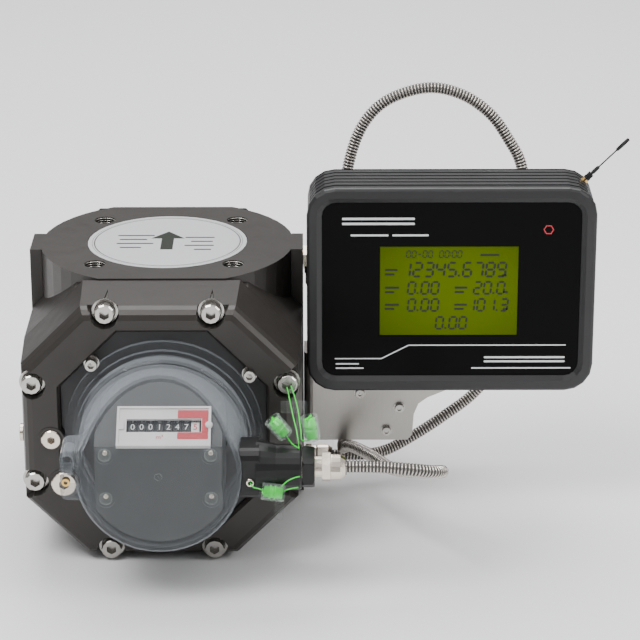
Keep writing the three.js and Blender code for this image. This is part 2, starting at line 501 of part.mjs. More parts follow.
// Cable gland: threaded stem, hexagon and domed clamping cap, bored for the conduit.
const HOSE_R = HOSE_D / 2, HOSE_BORE = HOSE_R + 0.5;
function gland(axis, u, v, from, stem, dir, stemR = 6.5, flats = 15.5) {
  const s = (d) => from + dir * d;
  const profile = [[0, 0], [stemR, 0], [stemR, stem], [flats / 2 - 0.4, stem + 5],
    [flats / 2 - 0.2, stem + 6], [flats / 2 - 0.2, stem + 11], [flats / 2 - 2.4, stem + 14.2],
    [0, stem + 14.2]].map(([r, d]) => [r, s(d)]);
  const [h0, h1] = [s(stem), s(stem + 5)].sort((p, q) => p - q);
  const [b0, b1] = [s(stem + 1), s(stem + 16)].sort((p, q) => p - q);
  return cut(join(turned(axis, u, v, profile, 16), hex(axis, u, v, flats, h0, h1)),
    bore(axis, u, v, HOSE_BORE, b0, b1, 12));
}
const SENSOR_STEM = 22;
const SENSOR_GLAND_X = SENSOR_X + 16;
part('sensor_gland', gland('X', SENSOR_Y, SENSOR_Z, SENSOR_GLAND_X, SENSOR_STEM, 1, STEM_R, 16.5),
  NICKEL());

// ---------------------------------------------------------------- port label
part('inlet_label', rod('Z', 0, 0, LABEL_R, FACE_TO_FACE - LABEL_T - 0.02, FACE_TO_FACE - 0.02, 40),
  paint(0xc9cacc, 0.4, 0.1));

// ---------------------------------------------------------------- bracket
const SHEET_T = 3, BEND_R = 6;
const PLATE_Z0 = Z0 - 51.5, PLATE_Z1 = Z0 + 10;  // height of the flange on the side rib
const WING_Z = CASE_Z - 44.5;    // top of the plate, clamped to the case below its wiring chamber
const plateX = TAP_X + BEND_R;
const plateOutline = [[plateX, PLATE_Z0], [157.5, PLATE_Z0], [161, PLATE_Z0 + 3.5], [162, Z0 - 33],
  [165, Z0 - 25.5], [171, Z0 - 21], [192, Z0 - 12], [222, Z0 + 4], [222, WING_Z], [112, WING_Z],
  [plateX, PLATE_Z1]];
const bend = prism('Z', (() => {
  const quarter = (r) => Array.from({ length: 6 }, (_, i) => {
    const t = Math.PI + i / 5 * Math.PI / 2;
    return [plateX + r * Math.cos(t), PLATE_Y + BEND_R + r * Math.sin(t)];
  });
  return [...quarter(BEND_R), ...quarter(BEND_R - SHEET_T).reverse()];
})(), PLATE_Z0, PLATE_Z1);
let bracket = join(
  prism('Y', plateOutline, PLATE_Y, PLATE_Y + SHEET_T), bend,
  box(TAP_X, TAP_X + SHEET_T, PLATE_Y + BEND_R, 15, PLATE_Z0, PLATE_Z1));
for (const z of [PLATE_Z0 + 14, PLATE_Z1 - 14]) {
  bracket = cut(bracket, rod('X', 6, z, 3.3, TAP_X - 1, TAP_X + SHEET_T + 1, 12));
}
part('mounting_bracket', bracket, SHEET());

// ---------------------------------------------------------------- volume corrector
const rr = (inset, r = 18) => roundedRect(CASE_W - 2 * inset, CASE_H - 2 * inset,
  Math.max(r - inset, 2), CASE_X, CASE_Z, 4);
const BEZEL_D = 8.2, BEZEL_BACK = CASE_Y0 + BEZEL_D;
const FINS = 6, FIN_PITCH = (CASE_D - BEZEL_D - 3) / (FINS - 1), GROOVE = 2, GROOVE_DEPTH = 4.2;
const caseRings = [];
for (let i = 0; i < FINS; i++) {
  const y = BEZEL_BACK + GAP + i * FIN_PITCH;
  if (i > 0) caseRings.push({ y, points: rr(0.6) });
  caseRings.push({ y: y + 0.2, points: rr(GROOVE_DEPTH) }, { y: y + GROOVE - 0.4, points: rr(GROOVE_DEPTH) },
    { y: y + GROOVE, points: rr(0.6) });
}
caseRings.push({ y: CASE_Y1, points: rr(1) });
let corrector = loft(caseRings);
const FLOOR_Y = CASE_Y1 - 4;     // inside of the back wall
corrector = cut(corrector, loft([
  { y: BEZEL_BACK - 1, points: rr(8.4) }, { y: FLOOR_Y, points: rr(9) }]));
// Wiring chamber on the back, with the cable glands under it.
const HUMP = { x0: 139, x1: 223, y1: CASE_Y1 + 34, z0: CASE_Z - 36, z1: CASE_Z + CASE_H / 2 - 11.6 };
const humpBack = roundedRect(HUMP.x1 - HUMP.x0, HUMP.z1 - HUMP.z0, 6,
  (HUMP.x0 + HUMP.x1) / 2, (HUMP.z0 + HUMP.z1) / 2, 3);
corrector = join(corrector, prism('Y', humpBack, CASE_Y1 - 2, HUMP.y1));
const GLAND_Y = CASE_Y1 + 17;
const GLANDS = [['case_gland_pressure', 152], ['case_gland_sensor', 172], ['case_gland_temperature', 196]];
const CASE_STEM = 9;
corrector = cut(corrector, ...GLANDS.map(([, x]) =>
  bore('Z', x, GLAND_Y, 6.5 + GAP, HUMP.z0 - 1, HUMP.z0 + CASE_STEM + GAP, 16)));
// The antenna leaves the upper right corner along its diagonal.
const CORNER = 18 * (1 - Math.SQRT1_2);
const ANT = { x: CASE_X + CASE_W / 2 - CORNER, y: FLOOR_Y - 4.6, z: CASE_Z + CASE_H / 2 - CORNER };
const onDiagonal = (body) => body.transform(
  new THREE.Matrix4().makeRotationY(-Math.PI / 4).setPosition(ANT.x, ANT.y, ANT.z).elements);
const ANT_R = 2.4;
corrector = cut(corrector, onDiagonal(bore('X', 0, 0, ANT_R + GAP, -16, 6, 12)));
part('corrector_case', corrector, CHARCOAL());
for (const [name, x] of GLANDS) {
  part(name, gland('Z', x, GLAND_Y, HUMP.z0 + CASE_STEM, CASE_STEM + 0.4, -1), NICKEL());
}

const WINDOW = { w: 164.8, h: 117.4, r: 9, z: CASE_Z + 0.4 };
const win = (inset) => roundedRect(WINDOW.w - 2 * inset, WINDOW.h - 2 * inset,
  Math.max(WINDOW.r - inset, 1.5), CASE_X, WINDOW.z, 4);
const bezel = loft([
  { y: BEZEL_BACK, points: rr(0.6) }, { y: CASE_Y0 + 2.4, points: rr(0) },
  { y: CASE_Y0 + 0.8, points: rr(0.5) }, { y: CASE_Y0, points: rr(1.8) },
  { y: CASE_Y0 - 0.4, points: win(-3.2) }, { y: CASE_Y0 + 1.6, points: win(0) },
  { y: CASE_Y0 + 4.4, points: win(0) }, { y: CASE_Y0 + 4.4, points: win(2.4) },
  { y: BEZEL_BACK, points: win(2.4) }], true);
part('corrector_bezel', bezel, CHARCOAL());
const LCD = { x: 182, z: CASE_Z - 0.5, w: 88.6, h: 60.6 };
part('corrector_window', cut(
  prism('Y', win(GAP), CASE_Y0 + 1.8, CASE_Y0 + 4.4 - GAP),
  box(LCD.x - LCD.w / 2, LCD.x + LCD.w / 2, CASE_Y0 - 1, CASE_Y0 + 6,
    LCD.z - LCD.h / 2, LCD.z + LCD.h / 2)), paint(0x0a0a0b, 0.15, 0.0));
part('lcd_module', join(
  box(LCD.x - LCD.w / 2 + GAP, LCD.x + LCD.w / 2 - GAP, CASE_Y0 + 2.2, CASE_Y0 + 6,
    LCD.z - LCD.h / 2 + GAP, LCD.z + LCD.h / 2 - GAP),
  box(LCD.x - LCD.w / 2 - 5, LCD.x + LCD.w / 2 + 5, CASE_Y0 + 4.4, CASE_Y0 + 9,
    LCD.z - LCD.h / 2 - 5, LCD.z + LCD.h / 2 + 5)), paint(0x344b06, 0.25, 0.0));
part('circuit_board', join(
  box(CASE_X - 72, CASE_X + 72, CASE_Y0 + 11, CASE_Y0 + 12.6, CASE_Z - 48, CASE_Z + 48),
  box(CASE_X - 60, CASE_X - 30, CASE_Y0 + 12, CASE_Y0 + 22, CASE_Z + 20, CASE_Z + 40),
  box(CASE_X + 10, CASE_X + 26, CASE_Y0 + 12, CASE_Y0 + 15, CASE_Z + 8, CASE_Z + 24),
  box(CASE_X - 50, CASE_X + 50, CASE_Y0 + 9.6, CASE_Y0 + 11.4, CASE_Z - 44, CASE_Z - 40)),
  paint(0x1f5a34, 0.5, 0.0));
const CELL_R = 11, CELL_Y = FLOOR_Y - 1 - CELL_R;
part('battery', join(
  rod('X', CELL_Y, CASE_Z - 30, CELL_R, CASE_X - 30, CASE_X + 30, 24),
  rod('X', CELL_Y, CASE_Z - 30, 4, CASE_X + 29, CASE_X + 32, 12)), paint(0x2f6fb0, 0.4, 0.1));

// ---------------------------------------------------------------- pressure and temperature
const DROP_X = TAP_X + 8.2;      // axis of the downward limb of the pressure fitting
let pressure = join(
  rod('X', 0, PRESSURE_Z, FITTING_R, HX - 12, TAP_X + 2, 12),
  hex('X', 0, PRESSURE_Z, 14, TAP_X, TAP_X + 4.5),
  turned('Z', DROP_X, 0, [[0, PRESSURE_Z + 7.4], [5.6, PRESSURE_Z + 7.4], [7, PRESSURE_Z + 6],
    [7, PRESSURE_Z - 7], [5.6, PRESSURE_Z - 8], [5.6, PRESSURE_Z - 11], [7, PRESSURE_Z - 12],
    [7, PRESSURE_Z - 18], [5.4, PRESSURE_Z - 20], [0, PRESSURE_Z - 20]], 16));
pressure = cut(pressure, bore('Z', DROP_X, 0, HOSE_BORE, PRESSURE_Z - 22, PRESSURE_Z - 10, 12));
part('pressure_fitting', pressure, NICKEL());
let temperature = join(
  rod('X', 0, TEMPERATURE_Z, FITTING_R, HX - 12, TAP_X + 2, 12),
  turned('X', 0, TEMPERATURE_Z, [[0, TAP_X], [6.6, TAP_X], [6.6, TAP_X + 8], [7.2, TAP_X + 9],
    [7.2, TAP_X + 16], [5.4, TAP_X + 18.4], [0, TAP_X + 18.4]], 16),
  hex('X', 0, TEMPERATURE_Z, 14, TAP_X + 1, TAP_X + 5));
temperature = cut(temperature,
  bore('X', 0, TEMPERATURE_Z, HOSE_BORE, TAP_X + 6, TAP_X + 20, 12));
part('temperature_fitting', temperature, NICKEL());

// ---------------------------------------------------------------- conduits
function hose(name, points, sides, step) {
  const curve = new THREE.CatmullRomCurve3(
    points.map((p) => new THREE.Vector3(...p)), false, 'centripetal');
  const ring = [];
  for (let i = 0; i < sides; i++) {
    const t = i / sides * 2 * Math.PI;
    ring.push([HOSE_R * Math.cos(t), HOSE_R * Math.sin(t)]);
  }
  const steps = Math.round(curve.getLength() / step);
  const g = new THREE.ExtrudeGeometry(shapeOf(ring), { steps, extrudePath: curve, bevelEnabled: false });
  part(name, solid(g), paint(0xb8b0a6, 0.3, 0.95));
}
const CASE_EXIT = HUMP.z0 - 6;   // upper ends of the hoses, inside the glands
const intoCase = (x) => [[x, GLAND_Y, CASE_EXIT - 24], [x, GLAND_Y, CASE_EXIT - 12],
  [x, GLAND_Y, CASE_EXIT]];
const SENSOR_END = SENSOR_GLAND_X + SENSOR_STEM + 14.2;
hose('sensor_hose', [
  [SENSOR_END - 8, SENSOR_Y, SENSOR_Z], [SENSOR_END, SENSOR_Y, SENSOR_Z],
  [SENSOR_END + 8, SENSOR_Y, SENSOR_Z], [139, SENSOR_Y, SENSOR_Z - 0.4], [157, -169, SENSOR_Z - 2.5],
  [170, -162, SENSOR_Z - 7], [175, -149, SENSOR_Z - 12.5], [170.5, -132, SENSOR_Z - 20],
  [160, -112, SENSOR_Z - 29], [146, -88, SENSOR_Z - 37.5], [134, -62, Z0 - 41], [121.5, -38, Z0 - 44.5],
  [116.5, -24, Z0 - 49.5], [115, -10, Z0 - 57], [115.5, 2, Z0 - 57.6], [121, 14, Z0 - 53],
  [134, 23, Z0 - 45], [150, 23, Z0 - 36], [164, 17, Z0 - 22], [171, 9, Z0 - 6], ...intoCase(172)], 8, 20);
hose('temperature_hose', [
  [TAP_X + 10, 0, TEMPERATURE_Z], [TAP_X + 18.4, 0, TEMPERATURE_Z], [TAP_X + 27, 0, TEMPERATURE_Z],
  [129, 2, Z0 - 67.2], [143, 8, Z0 - 67], [161, 16, Z0 - 60.5], [184.5, 26, Z0 - 48.5],
  [205, 34, Z0 - 35], [222, 38, Z0 - 12], [232, 40, Z0 + 20], [235.5, 40, Z0 + 60], [235.5, 40, Z0 + 100],
  [232.7, 40, Z0 + 126.6], [224.3, 40, Z0 + 142.7], [212.4, 40, Z0 + 159.6], [193.1, 40, Z0 + 173.3],
  [171, 40, Z0 + 178], [143.3, 40, Z0 + 169], [128.7, 40, Z0 + 153.6], [119, 40, Z0 + 126.7],
  [116, 40, Z0 + 90], [116, 41, Z0 + 48], [117.5, 44, Z0 + 12], [125, 48, Z0 - 17], [142, 50, Z0 - 35],
  [164, 46, Z0 - 37], [184, 33, Z0 - 25], [194, 18, Z0 - 8], ...intoCase(196)], 8, 20);
hose('pressure_hose', [
  [DROP_X, 0, PRESSURE_Z - 12], [DROP_X, 0, PRESSURE_Z - 20], [DROP_X, 0, PRESSURE_Z - 31],
  [98, 4, Z0 + 24], [102, 11, Z0 + 4], [111, 17, Z0 - 10], [124, 19, Z0 - 17], [137, 16, Z0 - 13],
  [148, 10, Z0 - 3], ...intoCase(152)], 8, 20);

// ---------------------------------------------------------------- antenna
// Built along the corner diagonal: distances run outwards from the corner of the case.
part('antenna_base', onDiagonal(join(
  rod('X', 0, 0, ANT_R, -13, 0.6, 12), rod('X', 0, 0, 3.4, -13, -10.4, 6))), paint(0xc9a650, 0.3, 1.0));
const HINGE = 4, PIN_R = 0.6, CHEEK = 1.1;
part('antenna_elbow', onDiagonal(join(
  rod('X', 0, 0, 2.2, 0.6 + GAP, 2.2, 16),
  box(2, HINGE + 1.5, -CHEEK - 0.9, -CHEEK, -1.5, 1.5),
  box(2, HINGE + 1.5, CHEEK, CHEEK + 0.9, -1.5, 1.5),
  rod('Y', HINGE, 0, PIN_R, -CHEEK - 0.5, CHEEK + 0.5, 10))), BLACK());
part('antenna_whip', onDiagonal(cut(
  join(rod('Y', HINGE, 0, 1.5, -CHEEK + GAP, CHEEK - GAP, 16),
    turned('X', 0, 0, [[0, HINGE + 1], [0.75, HINGE + 1], [0.75, HINGE + 1.9], [1.3, HINGE + 2.6],
      [1.2, 11.4], [0.5, 12.4], [0.5, 27.4], [1.1, 28], [1.3, 33], [1.1, 38], [0, 38.4]], 10)),
  bore('Y', HINGE, 0, PIN_R + GAP, -3, 3, 12))), BLACK());

export default meter;
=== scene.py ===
"""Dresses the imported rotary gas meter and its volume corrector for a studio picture."""
import json
import math

import bmesh
import bpy
from mathutils import Matrix, Vector

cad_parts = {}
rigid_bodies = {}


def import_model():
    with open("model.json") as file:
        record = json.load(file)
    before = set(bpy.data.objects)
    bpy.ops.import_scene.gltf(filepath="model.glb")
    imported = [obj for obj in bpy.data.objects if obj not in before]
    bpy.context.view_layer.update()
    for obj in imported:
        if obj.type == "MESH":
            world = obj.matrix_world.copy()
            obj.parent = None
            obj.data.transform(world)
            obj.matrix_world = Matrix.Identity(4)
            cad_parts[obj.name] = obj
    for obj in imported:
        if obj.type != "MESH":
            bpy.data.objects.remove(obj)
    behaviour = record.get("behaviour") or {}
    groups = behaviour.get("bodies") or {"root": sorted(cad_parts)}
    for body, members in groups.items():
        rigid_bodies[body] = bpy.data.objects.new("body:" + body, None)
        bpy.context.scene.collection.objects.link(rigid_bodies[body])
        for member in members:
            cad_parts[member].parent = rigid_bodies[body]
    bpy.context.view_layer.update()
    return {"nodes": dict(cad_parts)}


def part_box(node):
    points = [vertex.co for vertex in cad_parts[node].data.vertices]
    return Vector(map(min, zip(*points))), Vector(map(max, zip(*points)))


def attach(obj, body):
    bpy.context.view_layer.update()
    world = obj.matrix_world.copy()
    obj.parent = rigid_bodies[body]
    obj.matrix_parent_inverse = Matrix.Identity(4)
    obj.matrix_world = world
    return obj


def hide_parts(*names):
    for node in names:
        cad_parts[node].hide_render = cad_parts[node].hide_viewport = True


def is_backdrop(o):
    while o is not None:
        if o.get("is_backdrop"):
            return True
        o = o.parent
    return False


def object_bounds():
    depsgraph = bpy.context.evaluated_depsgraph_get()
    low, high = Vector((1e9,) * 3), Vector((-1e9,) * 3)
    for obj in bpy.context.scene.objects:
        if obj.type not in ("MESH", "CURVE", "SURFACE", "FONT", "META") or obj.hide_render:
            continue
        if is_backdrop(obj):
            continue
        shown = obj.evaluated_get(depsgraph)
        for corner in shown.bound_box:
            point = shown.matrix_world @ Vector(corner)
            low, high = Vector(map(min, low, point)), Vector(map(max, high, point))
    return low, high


bl_info = {
    "name": "Rotary gas meter",
    "version": (1, 0, 0),
    "blender": (4, 5, 0),
    "location": "View3D > Sidebar > Gas meter",
    "description": "Finishes, fasteners, seals, conduits and display of a rotary gas meter",
    "category": "Object",
}

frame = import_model()
MM = 0.001
FRONT, BACK, LEFT, RIGHT, DOWN, UP = (0, -1, 0), (0, 1, 0), (-1, 0, 0), (1, 0, 0), (0, 0, -1), (0, 0, 1)


def mm(*values):
    return tuple(v * MM for v in values)


def middle(node):
    lo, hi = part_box(node)
    return (lo + hi) / 2


def mirrored(*places):
    """Every place with its mirror images in both axes."""
    return [(sx * x, sz * z) for x, z in places for sx in (-1, 1) for sz in (-1, 1)]


# ------------------------------------------------------------------ places taken from the frame
HOUSING_LO, HOUSING_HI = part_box("measuring_housing")
Z0 = (HOUSING_LO.z + HOUSING_HI.z) / 2        # shaft plane
HALF_DEPTH = HOUSING_HI.y                     # housing, middle to end cover
TOP_FACE = HOUSING_HI.z
RIB_X = HOUSING_HI.x                          # face of the right rib
FRONT_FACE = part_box("front_cover")[0].y + 0.6 * MM   # front cover, face around its pads
REAR_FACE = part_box("rear_cover")[1].y
SEAT = 9.5                                    # depth of a cover bolt's pocket, in mm
INDEX_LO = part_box("index_cover")[0]
INDEX_Y = INDEX_LO.y + 0.8 * MM               # front of the clear cover
INDEX_X = middle("dial_housing").x
INDEX_R = 50.1 * MM
CREASE_Z = Z0 + 0.475 * INDEX_R               # where the index starts to slope back
COUNTER_X = middle("counter_frame").x
SLOPE = Matrix.Translation((COUNTER_X, INDEX_Y, CREASE_Z)) @ Matrix.Rotation(math.radians(37), 4, "X")
SLOPE_FLOOR = -6.3                            # counter frame's face behind the slope, in mm
AXLE_V, AXLE_N, WHEEL_R = mm(14.4, -17.4, 9)  # counter axle up the slope and behind it, and wheel radius
SENSOR_Y = middle("sensor_nut").y
SY, SZ = SENSOR_Y / MM, -1.0                  # sensor axis from the shaft plane, in mm
CASE = middle("corrector_bezel")
CASE_BACK = -10 * MM
GLAND_Y = CASE_BACK + 17 * MM
GLAND_X = {"pressure": 152, "sensor": 172, "temperature": 196}
WINDOW_LO, WINDOW_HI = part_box("corrector_window")
PLATE_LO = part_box("mounting_bracket")[0]
BOLT_RING = mirrored((32.7, 79.3), (79.3, 32.7))
REAR_RING = mirrored((32.7, 66), (72, 32.7))
INK = 0.02                                    # half the thickness of print, in mm


def at(x, y, z):
    """Point in metres of a place in millimetres, with z from the shaft plane."""
    return x * MM, y * MM, Z0 + z * MM


# ------------------------------------------------------------------ shader writing
def operator(kind, flipped=False):
    """Arithmetic method that adds one Math node."""
    def work(self, other):
        pair = (other, self) if flipped else (self, other)
        return self.finish.node("ShaderNodeMath", {"operation": kind}, *pair)
    return work


class Value:
    """One number in a finish; arithmetic on it adds the Math nodes."""

    def __init__(self, finish, socket):
        self.finish, self.socket = finish, socket

    __add__, __radd__ = operator("ADD"), operator("ADD", True)
    __sub__, __rsub__ = operator("SUBTRACT"), operator("SUBTRACT", True)
    __mul__, __rmul__ = operator("MULTIPLY"), operator("MULTIPLY", True)
    __truediv__, __pow__ = operator("DIVIDE"), operator("POWER")
    __gt__, __lt__ = operator("GREATER_THAN"), operator("LESS_THAN")


class Finish:
    """A material, or the studio's world, under construction."""

    def __init__(self, name, library="materials", shader="Principled BSDF"):
        self.owner = getattr(bpy.data, library).new(name)
        self.owner.use_nodes = True
        self.tree = self.owner.node_tree
        self.shader = self.tree.nodes[shader]

    def node(self, kind, settings, *values, output=0, **named):
        made = self.tree.nodes.new(kind)
        for key, setting in settings.items():
            if key == "stops":
                self._stops(made.color_ramp, setting)
            else:
                setattr(made, key, setting)
        for index, value in enumerate(values):
            self._feed(made.inputs[index], value)
        for key, value in named.items():
            self._feed(made.inputs[key.replace("_", " ")], value)
        return Value(self, made.outputs[output])

    @staticmethod
    def _stops(ramp, stops):
        while len(ramp.elements) < len(stops):
            ramp.elements.new(0.5)
        for element, (place, colour) in zip(ramp.elements, stops):
            element.position, element.color = place, (*colour, 1)

    def _feed(self, socket, value):
        if isinstance(value, Value):
            self.tree.links.new(value.socket, socket)
        else:
            socket.default_value = value

    def place(self, scale=(1, 1, 1)):
        """Object coordinates in metres, stretched by scale."""
        coordinates = self.node("ShaderNodeTexCoord", {}, output="Object")
        if scale == (1, 1, 1):
            return coordinates
        return self.node("ShaderNodeMapping", {}, Vector=coordinates, Scale=scale)

    def axis(self, name):
        return self.node("ShaderNodeSeparateXYZ", {}, self.place(), output=name)

    def noise(self, size, detail=2.0, stretch=(1, 1, 1), roughness=0.5):
        """Cloudy value about 0.5, with features of the given size in metres."""
        return self.node("ShaderNodeTexNoise", {}, Vector=self.place(stretch), Scale=1 / size,
                         Detail=detail, Roughness=roughness)

    def cells(self, size, feature="F1"):
        return self.node("ShaderNodeTexVoronoi", {"feature": feature}, Vector=self.place(), Scale=1 / size)

    def mix(self, factor, first, second):
        """Colour between two colours."""
        made = self.tree.nodes.new("ShaderNodeMix")
        made.data_type = "RGBA"
        made.clamp_factor = True
        self._feed(made.inputs[0], factor)
        self._feed(made.inputs[6], (*first, 1) if isinstance(first, tuple) else first)
        self._feed(made.inputs[7], (*second, 1) if isinstance(second, tuple) else second)
        return Value(self, made.outputs[2])

    def bump(self, height, depth):
        return self.node("ShaderNodeBump", {}, Distance=depth, Height=height)

    def set(self, **sockets):
        for key, value in sockets.items():
            if isinstance(value, tuple) and len(value) == 3:
                value = (*value, 1)
            self._feed(self.shader.inputs[key.replace("_", " ")], value)
        return self.owner


def shade(colour, factor):
    return tuple(min(c * factor, 1.0) for c in colour)


def coating(name, colour, grain=0.5 * MM, depth=0.05 * MM, rough=0.4, metal=0.3, spread=0.14):
    """Sprayed coat on a casting: orange peel, fine metallic flakes and slow patches of tone."""
    f = Finish(name)
    patches = f.noise(45 * MM, 3)
    flakes = f.cells(0.35 * MM) < 0.16
    tone = f.mix(patches, shade(colour, 1 - spread), shade(colour, 1 + spread))
    tone = f.mix(flakes * 0.35, tone, shade(colour, 2.1))
    peel = f.noise(grain, 3)
    return f.set(Base_Color=tone, Roughness=rough - 0.08 + 0.16 * f.noise(9 * MM, 4), Metallic=metal,
                 Normal=f.bump(peel, depth))


def brushed(name, colour, along, rough):
    """Metal with fine parallel lines; along is small on the axis the lines follow."""
    f = Finish(name)
    lines = f.noise(6 * MM, 6, along, 0.7)
    tone = f.mix(lines, shade(colour, 0.82), shade(colour, 1.14))
    smear = f.noise(30 * MM, 2)
    return f.set(Base_Color=tone, Roughness=rough - 0.1 + 0.16 * lines + 0.1 * smear, Metallic=1.0,
                 Normal=f.bump(lines, 0.024 * MM))


def plated(name, colour):
    """Polished plating with handling haze."""
    f = Finish(name)
    haze = f.noise(5 * MM, 5)
    tone = f.mix(haze, shade(colour, 0.9), shade(colour, 1.08))
    return f.set(Base_Color=tone, Roughness=0.13 + 0.16 * haze, Metallic=1.0,
                 Normal=f.bump(f.noise(0.8 * MM, 2), 0.01 * MM))


def moulded(name, colour, rough=0.45, grain=0.25 * MM, depth=0.02 * MM, coat=0.0, shine=0.4):
    """Moulded plastic with a fine spark-eroded grain."""
    f = Finish(name)
    grains = f.noise(grain, 2)
    tone = f.mix(f.noise(20 * MM, 2), shade(colour, 0.9), shade(colour, 1.12))
    return f.set(Base_Color=tone, Roughness=rough - 0.05 + 0.1 * grains, Coat_Weight=coat,
                 Specular_IOR_Level=shine, Normal=f.bump(grains, depth))


def clear_moulding(name, colour, body, edge):
    """Clear polycarbonate: nearly invisible face on, more opaque where the wall is seen along its length, and
    lightened there by a painted sheen.
    """
    f = Finish(name)
    facing = f.node("ShaderNodeLayerWeight", {}, Blend=0.35, output="Facing")
    streaks = f.noise(14 * MM, 3)
    alpha = body + edge * facing ** 1.6 + 0.05 * streaks
    # painted sheen: the base colour runs from half the colour face on to 1.7 times it where the wall is seen
    # edge on
    tone = f.mix(facing, shade(colour, 0.5), shade(colour, 1.7))
    return f.set(Base_Color=tone, Roughness=0.05 + 0.07 * streaks, Alpha=alpha, IOR=1.58,
                 Specular_IOR_Level=0.6)


def display(name, colour):
    """Liquid crystal glass with painted light: brighter in the middle, darker towards the edges and faintly
    glowing, with a faintly grained ground.
    """
    f = Finish(name)
    across = (f.axis("X") - middle("corrector_window").x) / (46 * MM)
    up = (f.axis("Z") - middle("corrector_window").z) / (32 * MM)
    # painted light: a pool of light in the middle of the display, falling off to darker edges
    painted_centre_light = 1.0 - 0.34 * (across ** 2) - 0.34 * (up ** 2)
    ground = f.noise(0.9 * MM, 1)
    tone = f.mix(painted_centre_light + 0.06 * ground, shade(colour, 0.42), colour)
    # painted glow: the display gives off a little light in its own colour
    return f.set(Base_Color=tone, Roughness=0.3 + 0.05 * ground, Emission_Color=tone, Emission_Strength=0.1,
                 Specular_IOR_Level=0.05)


def label_foil(name, colour):
    """Silver foil label: brushed ground with a printed double border."""
    f = Finish(name)
    radius = (f.axis("X") ** 2 + f.axis("Y") ** 2) ** 0.5
    line = (radius > 47.2 * MM) * (radius < 48.0 * MM) + (radius > 49 * MM) * (radius < 49.3 * MM)
    brush = f.noise(8 * MM, 5, (1, 24, 1))
    ground = f.mix(brush, shade(colour, 0.9), shade(colour, 1.06))
    return f.set(Base_Color=f.mix(line, ground, (0.1, 0.1, 0.1)), Roughness=0.3 + 0.12 * brush, Metallic=0.35)


def rolled(name, colour):
    """Machined rotor metal with feed marks across its length."""
    f = Finish(name)
    marks = f.node("ShaderNodeTexWave", {"bands_direction": "Y"}, Vector=f.place(), Scale=600.0,
                   Distortion=0.4)
    return f.set(Base_Color=f.mix(marks, shade(colour, 0.92), shade(colour, 1.05)),
                 Roughness=0.22 + 0.12 * marks, Metallic=1.0, Normal=f.bump(marks, 0.01 * MM))


def board(name, colour):
    """Printed circuit board: solder mask over faint tracks."""
    f = Finish(name)
    tracks = (f.cells(4 * MM, "DISTANCE_TO_EDGE") < 0.06) * 0.8
    return f.set(Base_Color=f.mix(tracks, colour, shade(colour, 1.9)), Roughness=0.3 + 0.2 * tracks,
                 Normal=f.bump(tracks, 0.03 * MM))


# ------------------------------------------------------------------ shape writing
def piece(name, mesh, look=None, body="meter_body"):
    """Object of a finished mesh that rides on a body and belongs to a material slot."""
    obj = bpy.data.objects.new(name, mesh)
    bpy.context.scene.collection.objects.link(obj)
    if look:
        mesh.materials.clear()
        mesh.materials.append(FINISHES[look])
    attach(obj, body)
    return obj


def circle(radius, segments, height=0.0):
    turns = [2 * math.pi * i / segments for i in range(segments)]
    return [(radius * math.cos(t), radius * math.sin(t), height) for t in turns]


def band(a, b, n):
    """Quads between two closed loops of n points, whose first points are a and b."""
    return [(a + i, a + (i + 1) % n, b + (i + 1) % n, b + i) for i in range(n)]


class Shape:
    """Mesh under construction in the shared frame. Sections and outlines are in millimetres."""

    def __init__(self):
        self.bm = bmesh.new()

    def add(self, vertices, faces, matrix=Matrix(), smooth=True):
        """Points in metres, and faces as tuples of their numbers."""
        made = [self.bm.verts.new(matrix @ Vector(v)) for v in vertices]
        for face in faces:
            self.bm.faces.new([made[i] for i in face]).smooth = smooth
        return self

    def lathe(self, profile, matrix=Matrix(), segments=24, smooth=True):
        """Turned about local Z; the profile lists (radius, height) from one axis end to the other."""
        rings, faces, vertices = [], [], []
        for radius, height in profile:
            made = circle(radius, segments, height) if radius else [(0, 0, height)]
            rings.append(list(range(len(vertices), len(vertices) + len(made))))
            vertices += made
        for low, high in zip(rings, rings[1:]):
            for i in range(segments):
                j = (i + 1) % segments
                if len(low) == 1:
                    faces.append((low[0], high[j], high[i]))
                elif len(high) == 1:
                    faces.append((low[i], low[j], high[0]))
                else:
                    faces.append((low[i], low[j], high[j], high[i]))
        return self.add([mm(*v) for v in vertices], faces, matrix, smooth)

    def ring(self, profile, matrix=Matrix(), segments=24, smooth=True):
        """Turned closed section: the profile's last point joins its first."""
        loops = [circle(radius, segments, height) for radius, height in profile]
        n = len(loops)
        faces = []
        for k in range(n):
            faces += band(k * segments, (k + 1) % n * segments, segments)
        return self.add([mm(*v) for loop in loops for v in loop], faces, matrix, smooth)

    def slab(self, outline, low, high, matrix=Matrix()):
        """Flat plate of an outline listed counter-clockwise."""
        n = len(outline)
        vertices = [mm(*p, h) for h in (low, high) for p in outline]
        faces = [tuple(range(n))[::-1], tuple(range(n, 2 * n)), *band(0, n, n)]
        return self.add(vertices, faces, matrix, smooth=False)

    def tube(self, path, radius, segments=8):
        """Round wire along a path of points, in metres, with closed ends."""
        points = [Vector(p) for p in path]
        side = (points[1] - points[0]).orthogonal()
        vertices, faces = [], []
        for i, p in enumerate(points):
            ahead = (points[min(i + 1, len(points) - 1)] - points[max(i - 1, 0)]).normalized()
            side = (side - ahead * side.dot(ahead)).normalized()
            up = ahead.cross(side)
            vertices += [p + side * u + up * v for u, v, _ in circle(radius, segments)]
        last = (len(points) - 1) * segments
        for a in range(0, last, segments):
            faces += band(a, a + segments, segments)
        faces += [tuple(range(segments))[::-1], tuple(range(last, last + segments))]
        return self.add(vertices, faces)

    def mesh(self, name):
        bmesh.ops.recalc_face_normals(self.bm, faces=self.bm.faces)
        mesh = bpy.data.meshes.new(name)
        self.bm.to_mesh(mesh)
        self.bm.free()
        return mesh

    def piece(self, name, slot, look):
        return piece(name, self.mesh(name), look)


def turn_to(direction, origin=(0, 0, 0)):
    """Matrix that carries local Z onto a direction, at an origin."""
    return Matrix.Translation(origin) @ Vector(direction).to_track_quat("Z", "Y").to_matrix().to_4x4()


